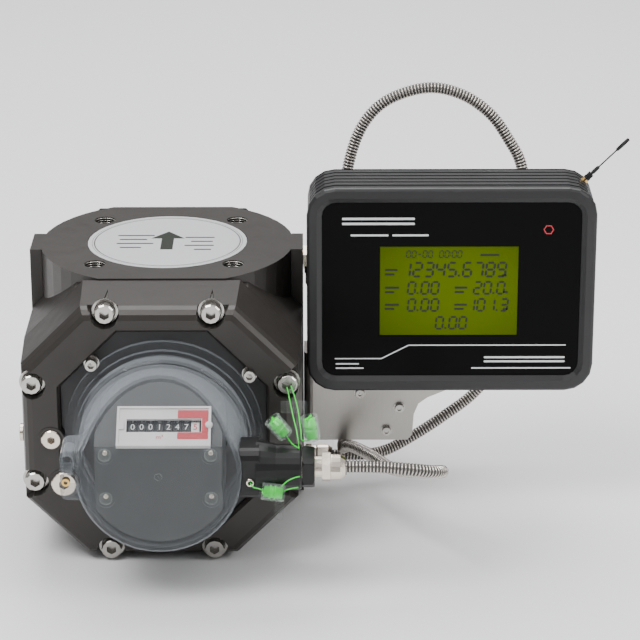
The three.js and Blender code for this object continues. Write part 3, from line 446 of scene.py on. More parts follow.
def rounded(width, height, radius, cx=0.0, cy=0.0, steps=4):
    points = []
    for (sx, sy), quarter in zip(((1, 1), (-1, 1), (-1, -1), (1, -1)), range(4)):
        for i in range(steps + 1):
            t = (quarter + i / steps) * math.pi / 2
            points.append((cx + sx * (width / 2 - radius) + radius * math.cos(t),
                           cy + sy * (height / 2 - radius) + radius * math.sin(t)))
    return points


def lettering(text, size, matrix, thickness=0.02 * MM):
    """Mesh of generic figures, laid in the local XY plane and centred."""
    curve = bpy.data.curves.new("figures", "FONT")
    curve.body, curve.size, curve.extrude = text, size, thickness
    curve.align_x, curve.align_y, curve.resolution_u = "CENTER", "CENTER", 3
    obj = bpy.data.objects.new("figures", curve)
    mesh = bpy.data.meshes.new_from_object(obj)
    bpy.data.objects.remove(obj)
    mesh.transform(matrix)
    return mesh


def join(name, meshes):
    bm = bmesh.new()
    for mesh in meshes:
        bm.from_mesh(mesh)
        bpy.data.meshes.remove(mesh)
    whole = bpy.data.meshes.new(name)
    bm.to_mesh(whole)
    bm.free()
    return whole


# ------------------------------------------------------------------ geometry nodes
class Grower:
    """Geometry Nodes tree with named inputs; run() turns its result into a plain mesh."""

    def __init__(self, name, **inputs):
        self.tree = bpy.data.node_groups.new(name, "GeometryNodeTree")
        face = self.tree.interface
        face.new_socket("Geometry", in_out="OUTPUT", socket_type="NodeSocketGeometry")
        face.new_socket("Geometry", in_out="INPUT", socket_type="NodeSocketGeometry")
        self.ids = {}
        for key, kind in inputs.items():
            self.ids[key] = face.new_socket(key, in_out="INPUT", socket_type=kind).identifier
        self.start = self.tree.nodes.new("NodeGroupInput")
        self.end = self.tree.nodes.new("NodeGroupOutput")

    def given(self, name="Geometry"):
        return self.start.outputs[name]

    def node(self, kind, settings=None, output=0, **values):
        made = self.tree.nodes.new(kind)
        for key, setting in (settings or {}).items():
            setattr(made, key, setting)
        for key, value in values.items():
            socket = made.inputs[key.replace("_", " ")]
            if isinstance(value, bpy.types.NodeSocket):
                self.tree.links.new(value, socket)
            elif isinstance(value, list):
                for link in reversed(value):
                    self.tree.links.new(link, socket)
            else:
                socket.default_value = value
        return made.outputs[output]

    def finish(self, geometry):
        self.tree.links.new(geometry, self.end.inputs[0])

    def run(self, source, name, **values):
        bpy.context.scene.collection.objects.link(source)
        modifier = source.modifiers.new(name, "NODES")
        modifier.node_group = self.tree
        for key, value in values.items():
            modifier[self.ids[key]] = value
        bpy.context.view_layer.update()
        seen = source.evaluated_get(bpy.context.evaluated_depsgraph_get())
        mesh = bpy.data.meshes.new_from_object(seen)
        source.modifiers.remove(modifier)
        data = source.data
        bpy.data.objects.remove(source)
        (bpy.data.curves if isinstance(data, bpy.types.Curve) else bpy.data.meshes).remove(data)
        mesh.name = name
        return mesh


def scatter_tree():
    """Sets one template on every point, its Z along the point's own facing."""
    g = Grower("set_on_points", Template="NodeSocketObject", Finish="NodeSocketMaterial")
    facing = g.node("GeometryNodeInputNamedAttribute", {"data_type": "FLOAT_VECTOR"}, Name="facing")
    turn = g.node("FunctionNodeAlignRotationToVector", {"axis": "Z"}, Vector=facing)
    part = g.node("GeometryNodeObjectInfo", output="Geometry", Object=g.given("Template"))
    placed = g.node("GeometryNodeInstanceOnPoints", Points=g.given(), Instance=part, Rotation=turn)
    real = g.node("GeometryNodeRealizeInstances", Geometry=placed)
    g.finish(g.node("GeometryNodeSetMaterial", Geometry=real, Material=g.given("Finish")))
    return g


def scatter(name, template, places, look):
    """Copies of a template mesh at (point, facing) pairs, as one piece."""
    mesh = bpy.data.meshes.new(name + "_points")
    mesh.from_pydata([p for p, _ in places], [], [])
    facing = mesh.attributes.new("facing", "FLOAT_VECTOR", "POINT")
    for i, (_, direction) in enumerate(places):
        facing.data[i].vector = direction
    source = bpy.data.objects.new(name + "_points", mesh)
    tool = bpy.data.objects.new(name + "_template", template)
    result = scatter_tree().run(source, name, Template=tool, Finish=FINISHES[look])
    bpy.data.objects.remove(tool)
    bpy.data.meshes.remove(template)
    piece(name, result)


def winding_tree():
    """Strip-wound conduit: a core in a near-black finish as painted shade between the turns, with one bright
    rib for every turn of the strip.
    """
    g = Grower("wound_conduit", Pitch="NodeSocketFloat", Core="NodeSocketFloat", Rib="NodeSocketFloat",
               Bright="NodeSocketMaterial", Dark="NodeSocketMaterial")
    circle = g.node("GeometryNodeCurvePrimitiveCircle", Resolution=12, Radius=g.given("Core"))
    core = g.node("GeometryNodeCurveToMesh", Curve=g.given(), Profile_Curve=circle, Fill_Caps=True)
    # painted shade: the core seen between the ribs gets the near-black finish
    core = g.node("GeometryNodeSetMaterial", Geometry=core, Material=g.given("Dark"))
    section = g.node("GeometryNodeCurvePrimitiveCircle", Resolution=6, Radius=g.given("Rib"))
    hoop = g.node("GeometryNodeCurvePrimitiveCircle", Resolution=16, Radius=g.given("Core"))
    rib = g.node("GeometryNodeCurveToMesh", Curve=hoop, Profile_Curve=section)
    points = g.node("GeometryNodeResampleCurve", {"mode": "LENGTH"}, Curve=g.given(), Length=g.given("Pitch"))
    tangent = g.node("GeometryNodeInputTangent")
    turn = g.node("FunctionNodeAlignRotationToVector", {"axis": "Z"}, Vector=tangent)
    ribs = g.node("GeometryNodeInstanceOnPoints", Points=points, Instance=rib, Rotation=turn)
    ribs = g.node("GeometryNodeRealizeInstances", Geometry=ribs)
    ribs = g.node("GeometryNodeSetMaterial", Geometry=ribs, Material=g.given("Bright"))
    whole = g.node("GeometryNodeJoinGeometry", Geometry=[core, ribs])
    g.finish(g.node("GeometryNodeSetShadeSmooth", Geometry=whole))
    return g


# ------------------------------------------------------------------ sizes and colours
def colour_property(name, description, value):
    return bpy.props.FloatVectorProperty(name=name, description=description, default=value, size=3,
                                         subtype="COLOR", min=0.0, max=1.0)


class MeterColours(bpy.types.PropertyGroup):
    """Colours of the meter's finishes."""
    coat: colour_property("Housing coat", "Bronze-grey coat of the castings", (0.034, 0.030, 0.027))
    case: colour_property("Corrector coat", "Charcoal coat of the corrector case", (0.020, 0.020, 0.021))
    conduit: colour_property("Conduit", "Stainless strip of the conduits", (0.60, 0.56, 0.52))
    nickel: colour_property("Nickel", "Plating of glands and fittings", (0.74, 0.66, 0.57))
    seal: colour_property("Seal", "Green inserts and wires of the seals", (0.01, 0.72, 0.03))
    # display colour where its painted light is brightest; the display finish darkens it towards the edges
    lcd: colour_property("Display", "Lit ground of the display", (0.085, 0.130, 0.0005))
    warning: colour_property("Fraction zone", "Red of the counter's last wheel", (0.55, 0.035, 0.05))


def length_property(name, description, value):
    return bpy.props.FloatProperty(name=name, description=description, default=value, unit="LENGTH")


class MeterSizes(bpy.types.PropertyGroup):
    """Sizes of the added pieces."""
    conduit: length_property("Conduit", "Outer diameter of the conduits", 0.008)
    strip: length_property("Strip pitch", "Length of one turn of the conduit's strip", 0.0021)
    seal: length_property("Seal", "Diameter of a barrel seal", 0.0105)
    wire: length_property("Seal wire", "Diameter of the seal wire", 0.0008)
    digit: length_property("Wheel figure", "Height of the figures on the counter wheels", 0.0056)


FINISHES = {}


def dress(look, *nodes):
    """Gives carried-over nodes their finish."""
    for name in nodes:
        for place in frame["nodes"][name].material_slots:
            place.link, place.material = "DATA", FINISHES[look]


class Maker(bpy.types.Operator):
    """Base of the operators that add a group of pieces."""
    bl_idname = "meter.maker"
    bl_label = "Maker"
    bl_options = {"REGISTER"}

    def execute(self, context):
        self.make(context.scene.meter_sizes, context.scene.meter_colours)
        return {"FINISHED"}


class MakeFinishes(Maker):
    """Mixes every finish and gives it to the carried-over parts."""
    bl_idname = "meter.finishes"
    bl_label = "Finishes"

    def make(self, sizes, tint):
        coat, case = tuple(tint.coat), tuple(tint.case)
        steel, nickel = (0.50, 0.48, 0.45), tuple(tint.nickel)
        FINISHES.update({
            "coat": coating("bronze_coat", coat),
            "plate": coating("matt_black_plate", (0.03, 0.03, 0.031), rough=0.55, metal=0.0),
            "bolt": brushed("bolt_steel", steel, (30, 1, 30), 0.2),
            "nickel": plated("nickel", nickel),
            "clear": clear_moulding("clear_cover", (0.34, 0.37, 0.40), 0.035, 0.75),
            "black": moulded("black_moulding", (0.009, 0.009, 0.0095), 0.4, shine=0.3),
            "rubber": moulded("rubber", (0.02, 0.02, 0.02), 0.7, 0.5 * MM, 0.04 * MM),
            "white": moulded("white_moulding", (0.72, 0.71, 0.70), 0.5, coat=0.2),
            "red": moulded("red_moulding", tuple(tint.warning), 0.45),
            "case": coating("charcoal_coat", case, 0.35 * MM, 0.04 * MM, 0.42, 0.15, 0.08),
            "window": moulded("window_black", (0.002, 0.002, 0.002), 0.3, 0.4 * MM, 0.001 * MM, shine=0.06),
            "lcd": display("display_ground", tuple(tint.lcd)),
            "ink": moulded("display_segments", (0.004, 0.008, 0.002), 0.4),
            "print": moulded("white_print", (0.75, 0.76, 0.77), 0.5),
            "board": board("circuit_board", (0.012, 0.11, 0.035)),
            "cell": moulded("cell_sleeve", (0.03, 0.16, 0.42), 0.3),
            "sheet": brushed("bracket_sheet", (0.46, 0.44, 0.41), (30, 30, 1), 0.34),
            "cast": coating("bare_casting", (0.42, 0.42, 0.41), 0.8 * MM, 0.06 * MM, 0.45, 0.9),
            "rotor": rolled("rotor_metal", (0.62, 0.61, 0.58)),
            "gear": rolled("gear_steel", (0.32, 0.31, 0.29)),
            "magnet": coating("magnet_black", (0.05, 0.05, 0.053), metal=0.6),
            "dial": moulded("dial_grey", (0.06, 0.064, 0.066), 0.4, 0.3 * MM),
            "label": label_foil("label_foil", (0.62, 0.63, 0.64)),
            "strip": brushed("wound_strip", tuple(tint.conduit), (8, 8, 8), 0.24),
            # painted shade: near-black colour of the conduit's core, for the shade in the grooves between the
            # strip's turns
            "groove": moulded("conduit_groove", (0.05, 0.047, 0.044), 0.5),
            "brass": plated("brass", (0.68, 0.44, 0.14)),
            "seal_clear": clear_moulding("seal_clear", (0.50, 0.58, 0.54), 0.02, 0.45),
            "seal_green": moulded("seal_green", tuple(tint.seal), 0.35, coat=0.4),
        })
        for name, nodes in {
            "coat": ["measuring_housing", "front_cover", "rear_cover"],
            "plate": ["index_base_plate"],
            "bolt": [f"cover_bolt_{i}" for i in range(1, 9)] + ["counter_axle"] + [
                f"{end}_bearing_{side}" for end in ("front", "rear") for side in ("left", "right")],
            "nickel": ["fill_plug", "level_plug", "sensor_gland", "case_gland_pressure", "case_gland_sensor",
                       "case_gland_temperature", "pressure_fitting", "temperature_fitting"],
            "clear": ["index_cover"],
            "black": ["sensor_housing", "sensor_nut", "antenna_elbow", "antenna_whip"] + [
                f"number_wheel_{i}" for i in range(2, 9)],
            "white": ["counter_frame", "number_wheel_1"],
            "case": ["corrector_case", "corrector_bezel"],
            "window": ["corrector_window"],
            "lcd": ["lcd_module"],
            "board": ["circuit_board"],
            "cell": ["battery"],
            "sheet": ["mounting_bracket"],
            "cast": ["front_headplate", "rear_headplate"],
            "rotor": ["rotor_left", "rotor_right"],
            "gear": ["timing_gear_left", "timing_gear_right"],
            "magnet": ["drive_magnet", "driven_magnet"],
            "dial": ["dial_housing"],
            "label": ["inlet_label"],
            "brass": ["antenna_base"],
        }.items():
            dress(name, *nodes)


class MakeCamera(Maker):
    """Camera of the reading position."""
    bl_idname = "meter.camera"
    bl_label = "Camera"

    def make(self, sizes, tint):
        camera = bpy.data.cameras.new("reader")
        camera.sensor_width, camera.lens = 36.0, 153.73
        camera.clip_end = 20
        obj = bpy.data.objects.new("reader", camera)
        yaw, pitch, roll = (math.radians(a) for a in (-0.076, 20.588, -0.116))
        obj.matrix_world = (Matrix.Translation((0.1019, -1.6918, 0.6659 + Z0)) @ Matrix.Rotation(-yaw, 4, "Z")
                            @ Matrix.Rotation(math.pi / 2 - pitch, 4, "X") @ Matrix.Rotation(roll, 4, "Z"))
        bpy.context.scene.collection.objects.link(obj)
        bpy.context.scene.camera = obj


# ------------------------------------------------------------------ conduits
def flowing(points, spacing):
    """Smooth line through points (centripetal Catmull-Rom), sampled evenly."""
    p = [Vector(q) for q in points]
    p = [2 * p[0] - p[1], *p, 2 * p[-1] - p[-2]]
    line = []
    for a, b, c, d in zip(p, p[1:], p[2:], p[3:]):
        t1, t2, t3 = (b - a).length ** 0.5, (c - b).length ** 0.5, (d - c).length ** 0.5
        m1 = ((b - a) / t1 - (c - a) / (t1 + t2) + (c - b) / t2) * t2
        m2 = ((c - b) / t2 - (d - b) / (t2 + t3) + (d - c) / t3) * t2
        count = max(2, round((c - b).length / spacing))
        for i in range(count):
            t = i / count
            line.append(b + m1 * t + (3 * (c - b) - 2 * m1 - m2) * t * t + (2 * (b - c) + m1 + m2) * t ** 3)
    line.append(p[-2])
    return line


def into_case(name):
    return [at(GLAND_X[name], GLAND_Y / MM, z) for z in (4, 16, 28)]


def route(points, ending):
    """Route points given in millimetres from the shaft plane."""
    return [at(*p) for p in points] + ending


TAP = RIB_X / MM + 0.3
DROP = TAP + 8.2
SENSOR_END = 63 + 16 + 22 + 14.2
ROUTES = {
    "sensor_hose": route([
        (SENSOR_END - 8, SY, SZ), (SENSOR_END, SY, SZ), (SENSOR_END + 8, SY, SZ), (139, SY, SZ - 0.4),
        (157, -169, SZ - 2.5), (170, -162, SZ - 7), (175, -149, SZ - 12.5), (170.5, -132, SZ - 20),
        (160, -112, SZ - 29), (146, -88, SZ - 37.5), (134, -62, -41), (121.5, -38, -44.5),
        (116.5, -24, -49.5), (115, -10, -57), (115.5, 2, -57.6), (121, 14, -53), (134, 23, -45),
        (150, 23, -36), (164, 17, -22), (171, 9, -6)], into_case("sensor")),
    "temperature_hose": route([
        (TAP + 10, 0, -66.5), (TAP + 18.4, 0, -66.5), (TAP + 27, 0, -66.5), (129, 2, -67.2), (143, 8, -67),
        (161, 16, -60.5), (184.5, 26, -48.5), (205, 34, -35), (222, 38, -12), (232, 40, 20), (235.5, 40, 60),
        (235.5, 40, 100), (232.7, 40, 126.6), (224.3, 40, 142.7), (212.4, 40, 159.6), (193.1, 40, 173.3),
        (171, 40, 178), (143.3, 40, 169), (128.7, 40, 153.6), (119, 40, 126.7), (116, 40, 90), (116, 41, 48),
        (117.5, 44, 12), (125, 48, -17), (142, 50, -35), (164, 46, -37), (184, 33, -25), (194, 18, -8)],
        into_case("temperature")),
    "pressure_hose": route([
        (DROP, 0, 62.5), (DROP, 0, 54.5), (DROP, 0, 43.5), (98, 4, 24), (102, 11, 4), (111, 17, -10),
        (124, 19, -17), (137, 16, -13), (148, 10, -3)], into_case("pressure")),
}


class MakeConduits(Maker):
    """Strip-wound stainless conduits along their real routes."""
    bl_idname = "meter.conduits"
    bl_label = "Conduits"

    def make(self, sizes, tint):
        rib = 0.55 * MM
        for name, points in ROUTES.items():
            line = flowing(points, 2.5 * MM)
            curve = bpy.data.curves.new(name + "_line", "CURVE")
            curve.dimensions = "3D"
            spline = curve.splines.new("POLY")
            spline.points.add(len(line) - 1)
            for target, p in zip(spline.points, line):
                target.co = (*p, 1)
            source = bpy.data.objects.new(name + "_line", curve)
            # the conduit's near-black core is painted shade between the strip's turns
            mesh = winding_tree().run(
                source, name + "_conduit", Pitch=sizes.strip, Core=sizes.conduit / 2 - rib, Rib=rib,
                Bright=FINISHES["strip"], Dark=FINISHES["groove"])
            obj = piece(name + "_conduit", mesh)
            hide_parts(name)


# ------------------------------------------------------------------ fasteners
def cap_screw(radius, height, key, washer=0.0):
    """Hexagon socket head with its top rim rounded, in millimetres; local Z points out of the seat."""
    shape = Shape()
    n, sector, depth = 24, math.pi / 3, height * 0.5
    outer = [(radius, 0), (radius, height * 0.88), (radius * 0.96, height * 0.97), (radius * 0.9, height)]
    vertices = [(0, 0, washer)]
    for r, h in outer:
        vertices += circle(r, n, washer + h)
    top = 1 + (len(outer) - 1) * n
    rim, floor = top + n, top + 2 * n
    faces = [(0, 1 + (i + 1) % n, 1 + i) for i in range(n)]
    for a in range(1, rim, n):
        faces += band(a, a + n, n)
    for i in range(n):
        t = 2 * math.pi * i / n
        reach = key * math.cos(sector / 2) / math.cos((t % sector) - sector / 2)
        vertices.append((reach * math.cos(t), reach * math.sin(t), washer + height))
    vertices += [(x, y, washer + height - depth) for x, y, _ in vertices[rim:]]
    vertices.append((0, 0, washer + height - depth * 1.1))
    faces += band(rim, floor, n)
    faces += [(floor + i, floor + (i + 1) % n, floor + n) for i in range(n)]
    shape.add([mm(*v) for v in vertices], faces, smooth=False)
    if washer:
        brim = radius * 1.25
        shape.lathe([(0, 0), (brim, 0), (brim, washer * 0.9), (0, washer * 0.9)], smooth=False)
    return shape.mesh("cap_screw")


def pan_screw(radius):
    """Domed head with a round dimple on top, in millimetres."""
    dome = [(1, 0.2), (0.9, 0.5), (0.6, 0.68), (0.42, 0.72), (0.38, 0.35), (0, 0.3)]
    profile = [(0, -0.2), (radius, -0.2)] + [(radius * r, radius * h) for r, h in dome]
    return Shape().lathe(profile, segments=18).mesh("pan_screw")


class MakeFasteners(Maker):
    """Screws, plugs and bolts that the castings carry."""
    bl_idname = "meter.fasteners"
    bl_label = "Fasteners"

    def make(self, sizes, tint):
        front, rear, plate = FRONT_FACE / MM + SEAT, REAR_FACE / MM - SEAT, PLATE_LO.y / MM
        scatter("rear_cover_bolts", cap_screw(6.5, 8, 3.6), [(at(x, rear, z), BACK) for x, z in REAR_RING],
                "bolt")
        washer = Shape().ring([(6.7, 0), (8.2, 0), (8.2, 1.4), (6.7, 1.4)], segments=32, smooth=False)
        scatter("front_bolt_washers", washer.mesh("washer"),
                [(at(x, front - 0.1, z), FRONT) for x, z in BOLT_RING], "bolt")
        scatter("index_clamp_screws", cap_screw(3.9, 5.5, 2.2, 4.2),
                [(at(x, -117.8, z), FRONT) for x, z in ((-41.3, 48.1), (56.2, 40.6))], "bolt")
        places = [(at(x, plate, z), FRONT) for x, z in ((152.3, -28), (143.9, -44.4), (126.1, -17.4))]
        places += [((RIB_X + 3.3 * MM, 6 * MM, z), RIGHT) for z in (PLATE_LO.z + 14 * MM, Z0 - 4 * MM)]
        scatter("bracket_screws", cap_screw(3.1, 2.6, 1.6, 0.7), places, "bolt")
        side = 0.4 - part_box("front_cover")[1].x / MM
        scatter("side_plug", cap_screw(5.6, 2.2, 2.8), [(at(side, -100, -7.3), LEFT)], "nickel")
        screws = [(CASE.x + x * MM, CASE_BACK - 0.05 * MM, CASE.z + z * MM) for x, z in mirrored((80, 56))]
        screws += [at(x, CASE_BACK / MM + 33.95, z) for x in (145, 217) for z in (40, 121)]
        scatter("case_back_screws", pan_screw(3.4), [(p, BACK) for p in screws], "bolt")
        threads = [((x * MM, y * MM, TOP_FACE - (1 + i * 1.5) * MM), UP)
                   for x, y in mirrored((44.19, 44.19)) for i in range(12)]
        thread = Shape().ring([(6.95, -0.55), (6.95, 0.55), (6.1, 0)])
        scatter("stud_threads", thread.mesh("thread"), threads, "bolt")


class MakeGaskets(Maker):
    """Cover gaskets, gland threads and sealing rings."""
    bl_idname = "meter.gaskets"
    bl_label = "Gaskets and threads"

    def make(self, sizes, tint):
        wide, high, diagonal = 87.2, 83.7, 133
        a, b = diagonal - high, diagonal - wide
        edge = [(wide, -b), (wide, b), (a, high), (-a, high),
                (-wide, b), (-wide, -b), (-a, -high), (a, -high)]
        faces = band(0, 8, 8) + band(16, 24, 8) + band(0, 16, 8) + band(8, 24, 8)
        gasket = Shape()
        for side in (-1, 1):
            y = side * (HALF_DEPTH / MM + 0.15)
            gasket.add([at(x * scale, y + dy, z * scale) for scale in (1.0, 0.96) for dy in (-0.13, 0.13)
                        for x, z in edge], faces, smooth=False)
        gasket.piece("cover_gaskets", "black_plastic", "rubber")

        thread = Shape().ring([(5.9, -0.42), (6, -0.42), (6.95, 0), (6, 0.42), (5.9, 0.42)])
        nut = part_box("sensor_nut")[1].x / MM + 0.7
        scatter("sensor_gland_thread", thread.mesh("thread"),
                [(at(nut + i, SY, SZ), RIGHT) for i in range(4)], "nickel")
        mouths = [(at(SENSOR_END, SY, SZ), RIGHT), (at(TAP + 18.4, 0, -66.5), RIGHT),
                  (at(DROP, 0, 54.5), DOWN)]
        mouths += [((x * MM, GLAND_Y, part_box("case_gland_sensor")[0].z), DOWN) for x in GLAND_X.values()]
        seal = Shape().ring([(4.1, -1.2), (4.1, 0.5), (4.9, 0.5), (5.2, 0.05), (4.45, -0.1), (4.45, -1.2)])
        scatter("gland_seals", seal.mesh("seal"), mouths, "rubber")
        union = Shape().ring([(5.7, 0), (7.5, 0), (7.7, 0.8), (7.7, 7.6), (7.3, 8.4), (7.1, 8.4), (7.1, 3.2),
                              (5.7, 2.8)], turn_to(UP, at(DROP, 0, 63.6)), 12, smooth=False)
        union.piece("pressure_union", "black_plastic", "black")


# ------------------------------------------------------------------ index
class MakeIndex(Maker):
    """Counter figures, fraction zone and the fittings of the clear cover."""
    bl_idname = "meter.index"
    bl_label = "Index"

    def make(self, sizes, tint):
        for i, shown in enumerate((5, 7, 4, 2, 1, 0, 0, 0)):
            axle = SLOPE @ Matrix.Translation(((3.5 - i) * 5.4 * MM, AXLE_V, AXLE_N))
            figures = []
            for k in range(10):
                turn = Matrix.Rotation(math.radians(36 * (shown - k)), 4, "X")
                place = axle @ turn @ Matrix.Translation((0, 0, WHEEL_R + INK * MM))
                figures.append(lettering(str(k), sizes.digit, place))
            name = f"wheel_{i + 1}_figures"
            piece(name, join(name, figures), "print" if i else "red", f"wheel_{i + 1}_body")

        def plate(shape, x0, x1, v0, v1, thickness=0.3):
            outline = rounded(x1 - x0, v1 - v0, 0.5, (x0 + x1) / 2 - COUNTER_X / MM, (v0 + v1) / 2, 2)
            shape.slab(outline, SLOPE_FLOOR, SLOPE_FLOOR + thickness, SLOPE)

        red = Shape()
        for box in ((13.9, 32.4, 19.3, 24.9), (13.9, 32.4, 4.9, 9.5), (28.6, 32.4, 9.7, 19.1)):
            plate(red, *box)
        red.piece("fraction_zone", "white_plastic", "red")
        end = Matrix.Translation((32.8 * MM - COUNTER_X, AXLE_V, SLOPE_FLOOR * MM))
        knob = Shape().lathe([(0, 0), (2.3, 0), (2.3, 1.2), (1.7, 1.8), (0, 2)], SLOPE @ end, 20)
        plate(knob, -21.6, -18.4, 11.4, 17.6, 1.2)
        knob.piece("counter_knob", "white_plastic", "white")
        unit = lettering("m³", 4.2 * MM, SLOPE @ Matrix.Translation(mm(-2.4, 6.2, SLOPE_FLOOR + 0.1)))
        piece("counter_unit", unit, "red")

        bosses = [(INDEX_X + x * MM, INDEX_Y + 0.35 * MM, Z0 + z * MM) for x in (-31.8, 31.8)
                  for z in (14.6, -13.8)]
        plug = Shape().lathe([(0, 0), (3.9, 0), (3.9, 0.6), (3.2, 1.3), (1.6, 1.5), (1.4, 1.1), (0, 1)])
        scatter("boss_plugs", plug.mesh("plug"), [(p, FRONT) for p in bosses], "seal_clear")
        scatter("boss_screws", pan_screw(1.7), [((x, y + 3.2 * MM, z), FRONT) for x, y, z in bosses],
                "nickel")
        face = turn_to(FRONT, (INDEX_X, INDEX_Y, Z0))
        mark = Shape().ring([(1.9, 0), (2.5, 0), (2.3, 0.3), (2, 0.3)], face)
        mark.lathe([(0, 0), (0.6, 0), (0.5, 0.35), (0, 0.4)], face, 12)
        mark.piece("moulding_mark", "clear_plastic", "seal_clear")
        lug = turn_to(FRONT, at(INDEX_LO.x / MM + 5.8, SY - 9.4, -5.5))
        insert = Shape().ring([(1.2, 0), (2.5, 0), (2.5, 4), (1.2, 4)], lug, 18, smooth=False)
        insert.piece("lug_insert", "brass", "brass")
        eye = Shape().ring([(1.3, 0), (2.7, 0), (2.7, 0.7), (2.2, 1.2), (1.3, 1.2)],
                           turn_to(FRONT, at(57.6, SY - 14, -5.2)), 20)
        eye.piece("seal_eye", "nickel", "nickel")


# ------------------------------------------------------------------ seals
def barrel_seal(outer, inner, centre, axis, radius, length):
    """Clear barrel with a ribbed green rotor inside; radius and length in millimetres."""
    place = turn_to(axis, centre)
    h, wall = length / 2, 0.7
    bore = radius - wall
    outer.ring([(bore, -h + wall), (bore, h), (radius, h), (radius + 0.25, h - 0.8), (radius, h - 1.6),
                (radius, -h + 1.2), (radius - 0.6, -h), (0.6, -h), (0.6, -h + wall)], place, 28)
    r = bore - 0.3
    inner.lathe([(0, -h + 1.4), (r * 0.85, -h + 1.4), (r * 0.85, -1.6), (r, -1.4), (r, -0.6),
                 (r * 0.82, -0.4), (r * 0.82, 1.2), (r, 1.4), (r, 2.4), (r * 0.8, 2.6),
                 (r * 0.8, h - 1.4), (0, h - 1.4)], place)
    inner.slab(rounded(2 * r * 0.95, 1.1, 0.4, steps=2), h - 1.6, h - 0.2, place)


def near(point, *offset):
    return point + Vector(mm(*offset))


class MakeSeals(Maker):
    """Three barrel seals with their wires."""
    bl_idname = "meter.seals"
    bl_label = "Seals"

    def make(self, sizes, tint):
        outer, inner, flags, wires = Shape(), Shape(), Shape(), Shape()
        face = INDEX_Y / MM
        one, two, three = (Vector(at(*p)) for p in (
            (75, SY, 25), (94.2, SY, 24.4), (71.5, face + 1.5, -10.4)))
        for centre, axis, length, (width, height, corner, half), offset, tilt in (
                (one, (-0.62, 0.0, 0.78), 14, (16, 7, 0.8, 0.3), (9, 3, 12), 90),
                (two, (-0.16, 0.05, 1), 15, (18, 7, 0.8, 0.3), (5, 2, -9.5), 60),
                (three, (-0.99, 0.0, 0.12), 14, (5.5, 13, 0.9, 0.35), (3.4, 0, -11.5), 90)):
            barrel_seal(outer, inner, centre, axis, sizes.seal / 2 / MM, length)
            place = Matrix.Translation(near(centre, *offset)) @ Matrix.Rotation(math.radians(tilt), 4, "X")
            flags.slab(rounded(width, height, corner, steps=2), -half, half, place)
        outer.piece("seal_barrels", "clear_plastic", "seal_clear")
        inner.piece("seal_rotors", "white_plastic", "seal_green")
        flags.piece("seal_flags", "clear_plastic", "seal_clear")

        head = Vector(at(79.3, FRONT_FACE / MM - 2, 32.7))
        top = SZ + 14.4
        for path in (
            [head, near(head, 1, -4, -3), at(82.6, -139, 22), at(85.4, -155, top + 3),
             at(86.6, SY + 5, top - 0.5), at(87, SY - 4, top - 0.6)],
            [near(head, 2.4, 0, 1), near(head, 4, -4, -2), at(86, -138, 24), at(88, -154, top + 3),
             at(89.5, SY + 3, top + 1.4), near(two, 0.8, 0, -7)],
            [at(87, SY - 4, top - 0.6), at(83, SY - 3, top + 2), near(one, 4, 0, -5)],
            [at(57.6, SY - 14.2, -5.2), at(59.6, face - 0.2, -6.4), at(62.4, face + 0.6, -7.6),
             near(three, -6, 0, 1.2)],
            [near(three, 4, 1, 2), at(80, face + 1.5, -3.2), at(84.4, face + 2.5, -1.4),
             at(87.6, face + 4, -1.2)],
            [near(three, 5, 1, -0.4), at(81, face + 1.5, -8.4), at(86.6, face + 3.6, -8.2)],
        ):
            wires.tube(flowing(path, 1.2 * MM), sizes.wire / 2)
        wires.piece("seal_wires", "white_plastic", "seal_green")


# ------------------------------------------------------------------ corrector front
SEGMENTS = {  # a top, b upper right, c lower right, d bottom, e lower left, f upper left, g middle
    "0": "abcdef", "1": "bc", "2": "abged", "3": "abgcd", "4": "fgbc", "5": "afgcd", "6": "afgedc",
    "7": "abc", "8": "abcdefg", "9": "abcdfg", "-": "g", " ": ""}


def upright(y):
    """Stands a drawing of the XY plane up at depth y, facing the front."""
    return Matrix.Translation((0, y, 0)) @ Matrix.Rotation(math.pi / 2, 4, "X")


def seven_segment(shape, text, x, z, height, face):
    """Lays a number in lit bars from the left edge x on the line z, in millimetres."""
    w, t, half = height * 0.55, height * 0.15, height / 2
    lean = math.tan(math.radians(6))
    bars = {"a": (w / 2, height, True), "g": (w / 2, half, True), "d": (w / 2, 0, True),
            "b": (w, half * 1.5, False), "c": (w, half * 0.5, False), "f": (0, half * 1.5, False),
            "e": (0, half * 0.5, False)}
    for letter in text:
        if letter in ".:":
            for dz in ((0.06,) if letter == "." else (0.3, 0.7)):
                dot = rounded(t, t, t * 0.3, x + dz * height * lean, z + dz * height, 1)
                shape.slab(dot, -INK, INK, face)
            x += t * 1.8
            continue
        for key in SEGMENTS[letter]:
            bx, bz, flat = bars[key]
            end = (w if flat else half) * 0.84 / 2
            tip = [(-end, 0), (-end + t / 2, -t / 2), (end - t / 2, -t / 2), (end, 0), (end - t / 2, t / 2),
                   (-end + t / 2, t / 2)]
            outline = [(u, v) if flat else (-v, u) for u, v in tip]
            shape.slab([(x + bx + u + (bz + v) * lean, z + bz + v) for u, v in outline], -INK, INK, face)
        x += w * 1.44


